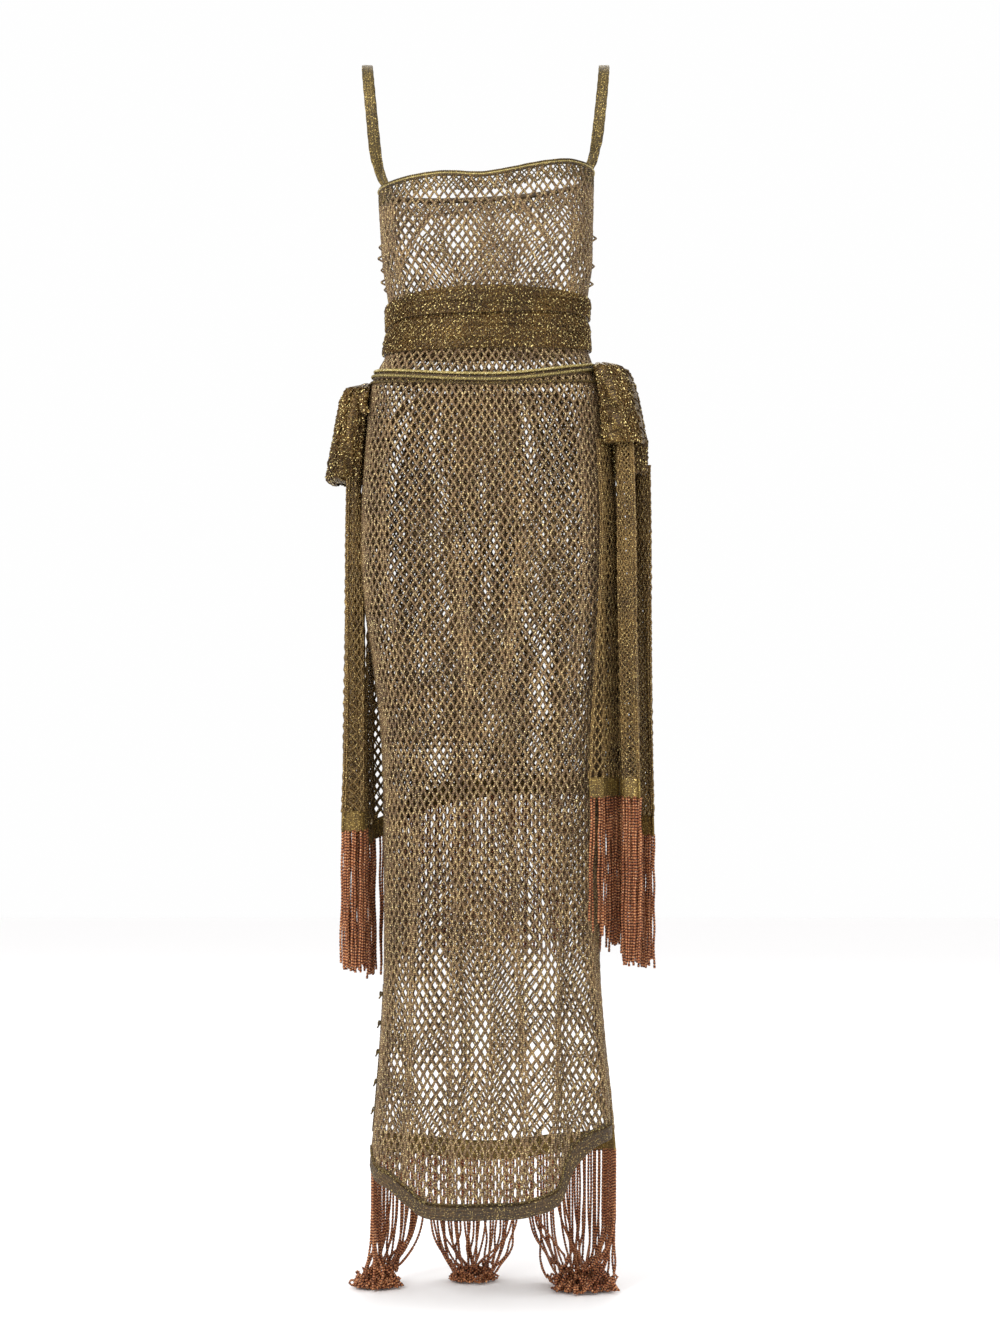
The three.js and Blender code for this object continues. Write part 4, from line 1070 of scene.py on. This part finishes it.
def knots():
    for name, shape, cells, height in PUFFS:
        surface = puff(**shape)
        u, v = ring_grid(108, 30)
        outer, inner = surface(u, v, -1.0), surface(u, v, -2.8)
        inner[:, :, 2] = np.minimum(inner[:, :, 2], -shape["top"] - 1.5)
        girth = float(run_along(outer[len(outer) // 2])[-1])
        piece = wall(name + "_cloth", outer, inner, SASH_CLOTH, (girth, height), ring=True)
        finished(piece, "sash", [name], flat=(girth * MM, height * MM * 1.1), held="folded",
                 rests_on=SKIRT_NETS)
        net = net_over(surface, height, cells, 3.3, 0.5, wander=0.16, relief=0.8, out=-0.3)
        finished(yarn(name + "_net", *net, 1.3, SASH_YARN), "sash", held="folded",
                 flat=(girth * MM, height * MM * 1.2), rests_on=[name + "_cloth"])
    # the tie: a short twisted end of sash over the left loop's root
    t = np.linspace(0, 1, 60)
    angle = lerp(190.6, 195.4, t)
    path = body(angle, lerp(390, 413, t), 8.5 + 3 * np.sin(math.pi * t))
    cord("knot_left_tie_twist", (path, bearing(angle)), (2.8, 17, 3, 0.9), 2.3, SASH_YARN,
         "sash", ["knot_left_tie"], sides=8)


knots()


# -------------------- falls and the wide drape

def falls():
    for key, fall in FALLS.items():
        surface, width, name = fall_surface(fall), fall["width"], "fall_" + key
        band_top = fall["hem"] - HEM_BAND
        knot = "knot_left_loop_cloth" if key == "left" else "knot_right_loop_cloth"
        for layer, nodes, out, meet, shift in (("_net_outer", [name], 0.9, 0.15, 0.0),
                                               ("_net_inner", (), -1.3, 0.0, 0.25)):
            net = net_paths(
                surface, round(width / 7.0), always(FALL_ROW), always(fall["top"] - 14),
                always(band_top + 1), always(0.0), always(1.0), meet=meet, relief=0.4, out=out,
                shift=shift)
            finished(yarn(name + layer, *net, 1.3, FALL_YARN), "fall", nodes, held="gathered",
                     flat=(width * MM, (band_top - fall["top"]) * MM), rests_on=[knot])
        knitted_band("band_" + key + "_knit", "band_" + key, surface, 0.0, 1.0,
                     always(fall["hem"]), round(width * 1.2), width, held="gathered",
                     flat=(width * MM, HEM_BAND * MM), rests_on=[name + "_net_outer"])


falls()

drape_top, drape_hem = edge(DRAPE_TOP), edge(DRAPE_HEM)


def drape_left(drop):
    return lerp(-24, -34, step(drop, 456, 862))


def drape_right(drop):
    return lerp(159, 163, step(drop, 500, 900))


def wide_drape():
    for layer, nodes, out, cells in (("outer", ["drape"], 1.0, 58), ("inner", (), -1.4, 50)):
        net = net_paths(
            drape, cells, always(DRAPE_ROW), lambda u: drape_top(u) - 6,
            lambda u: drape_hem(u) - HEM_BAND + 1, drape_left, drape_right, meet=0, relief=0.4,
            out=out)
        finished(yarn("drape_net_" + layer, *net, 1.35, FALL_YARN), "fall", nodes,
                 flat=(0.48, 0.5), held="gathered", area=0.196,
                 rests_on=["knot_right_loop_cloth", "knot_left_loop_cloth"])
    knitted_band("drape_band_knit", "drape_band", drape, *DRAPE_ENDS, drape_hem, 460, 560,
                 flat=(0.56, HEM_BAND * MM), held="gathered", rests_on=["drape_net_outer"])
    # the fall's upper edge is rolled over
    angle = np.linspace(-23.5, 158, 420)
    path = moved_out(drape, angle, drape_top(angle) + 1.5, 0 * angle + 1.2)
    cord("drape_edge_roll", (path, bearing(angle)), (1.1, 8, 3), 1.2, SASH_YARN, "sash")


wide_drape()

# -------------------- fringe

FRINGE = 1.6  # radius of a strand
CORD_TURNS = 55  # turns of the cord's twist in a metre
STRAND_STEP = 2.6  # distance between a strand's points


def hem_points(surface, left, right, hem, spacing):
    """Roots of strands along a band's lower edge, by turns on its outer and inner face."""
    u = np.linspace(left, right, 1500)
    total = run_along(surface(u, hem(u)))
    count = int(total[-1] / spacing)
    at = (np.arange(count) + 0.5) * total[-1] / count + rng.normal(0, 0.5, count)
    place = np.interp(at, total, u)
    side = np.where(np.arange(count) % 2 == 0, 0.7, -0.7)
    return surface(place, hem(place) - 2.0, side)


def hanging(roots, lengths):
    """Strands that hang from roots with an uneven sway."""
    paths = []
    for root, length in zip(roots, lengths):
        t = np.linspace(0, 1, max(int(length / STRAND_STEP), 8))
        sway = rng.normal(0, 1.3, 4)
        x = sway[0] * t ** 1.5 + sway[1] * np.sin(t * 4 + sway[2]) * t
        y = sway[3] * t ** 1.5 + sway[2] * np.sin(t * 5 + sway[0]) * t
        curl = 0.5 * np.sin(t * length / rng.uniform(7, 13) + sway[1])
        paths.append(root + np.stack([x + curl, y, -t * length], -1))
    return paths


def fringe(name, paths):
    piece = yarn(name + "_cords", paths, None, FRINGE, COPPER, turns=CORD_TURNS)
    finished(piece, "fringe", [name])


def fall_fringes():
    for key, fall in FALLS.items():
        roots = hem_points(fall_surface(fall), 0.0, 1.0, always(fall["hem"]), 4.1)
        lengths = fall["fringe"] * (1 - 0.09 * rng.random(len(roots)) ** 1.5)
        fringe("fringe_" + key, hanging(roots, lengths))
    roots = hem_points(drape, *DRAPE_ENDS, drape_hem, 4.8)
    lengths = lerp(160, 198, np.sin(math.pi * np.linspace(0, 1, len(roots))))
    fringe("drape_fringe", hanging(roots, lengths * (1 - 0.1 * rng.random(len(roots)) ** 1.5)))


fall_fringes()

# where the hem fringe gathers on the floor: middle, reach along x and y, and pile height
PILES = [((-134, 45), (27, 24), 32), ((-17, 84), (25, 20), 24), ((116, 20), (38, 30), 38)]


def hem_fringe():
    low = -FLOOR + FRINGE + 1
    paths = []
    for root in hem_points(dress, *BACK_ENDS, back_hem, 4.1):
        near = [abs(root[0] - pile[0][0]) - pile[1][0] for pile in PILES]
        centre, reach, height = PILES[int(np.argmin(near))]
        away = rng.normal(0, 0.5, 2)
        target = np.array(centre) + np.clip(away, -0.9, 0.9) * np.array(reach)
        pile_top = height * np.exp(-1.2 * np.sum(away ** 2)) * rng.uniform(0.2, 1)
        end = low + pile_top
        t = np.linspace(0, 1, int((root[2] - end) / STRAND_STEP))
        pull, late = rng.uniform(0.25, 0.9), rng.uniform(3, 7)
        sway, tangle = rng.normal(0, 1.5, 2), rng.uniform(9, 22)
        down = np.empty((len(t), 3))
        down[:, :2] = (root[:2] + (target - root[:2]) * pull * (t ** late)[:, None]
                       + np.outer(np.sin(t * 6) * t + 1.8 * np.sin(t * tangle) * t ** 4, sway))
        down[:, 2] = lerp(root[2], end, t)
        # on the pile the rest of the strand curls to and fro as it sinks to the floor
        steps = rng.integers(22, 42)
        heading = rng.uniform(0, TURN)
        curl = rng.choice([-1, 1]) * rng.uniform(0.16, 0.34)
        place, coil = down[-1].copy(), []
        for k in range(steps):
            out = (place[:2] - np.array(centre)) / np.array(reach)
            if np.hypot(*out) > rng.uniform(0.8, 1.3):
                heading = math.atan2(centre[1] - place[1], centre[0] - place[0])
            heading += curl + rng.normal(0, 0.16)
            place = place + STRAND_STEP * np.array([math.cos(heading), math.sin(heading), 0])
            place[2] = max(low, lerp(end, low, (k + 1) / steps)
                           + 0.14 * height * math.sin(0.7 * k + sway[0]))
            coil.append(place)
        paths.append(np.concatenate([down, np.array(coil)]))
    fringe("hem_fringe", paths)


hem_fringe()

# -------------------- stage

def studio_floor():
    low = -FLOOR * MM - 0.001
    mesh = bpy.data.meshes.new("floor")
    mesh.from_pydata([(x * 6, y * 6, low) for x, y in ((-1, -1), (1, -1), (1, 1), (-1, 1))],
                     [], [(0, 1, 2, 3)])
    # matt white paper, which takes only a soft shadow
    material, _, shader = new_material("pale_studio_floor")
    shader.inputs["Base Color"].default_value = linear("#fbfafa")
    shader.inputs["Roughness"].default_value = 0.7
    mesh.materials.append(material)
    placed("floor", mesh)


studio_floor()

MID_DRESS = (0, 0, -0.7)  # where the lamps point


def softbox(name, place, size, power):
    light = bpy.data.lights.new(name, "AREA")
    light.shape, light.size, light.energy = "DISK", size, power
    made = placed(name, light)
    made.location = place
    made.rotation_mode = "QUATERNION"
    aim = Vector(np.array(MID_DRESS) - np.array(place))
    made.rotation_quaternion = aim.to_track_quat("-Z", "Y")


softbox("key_light", (-1.6, -3.0, 1.2), 1.4, 85)
softbox("fill_light", (2.4, -2.6, 0.2), 1.8, 12)
softbox("back_light", (0.4, 2.6, 1.4), 1.8, 30)

world = bpy.data.worlds.new("studio")
world.use_nodes = True
background = world.node_tree.nodes["Background"].inputs
background["Color"].default_value = linear("#fbfbfb")
background["Strength"].default_value = 1.03
bpy.context.scene.world = world
bpy.context.scene.view_settings.view_transform = "Standard"
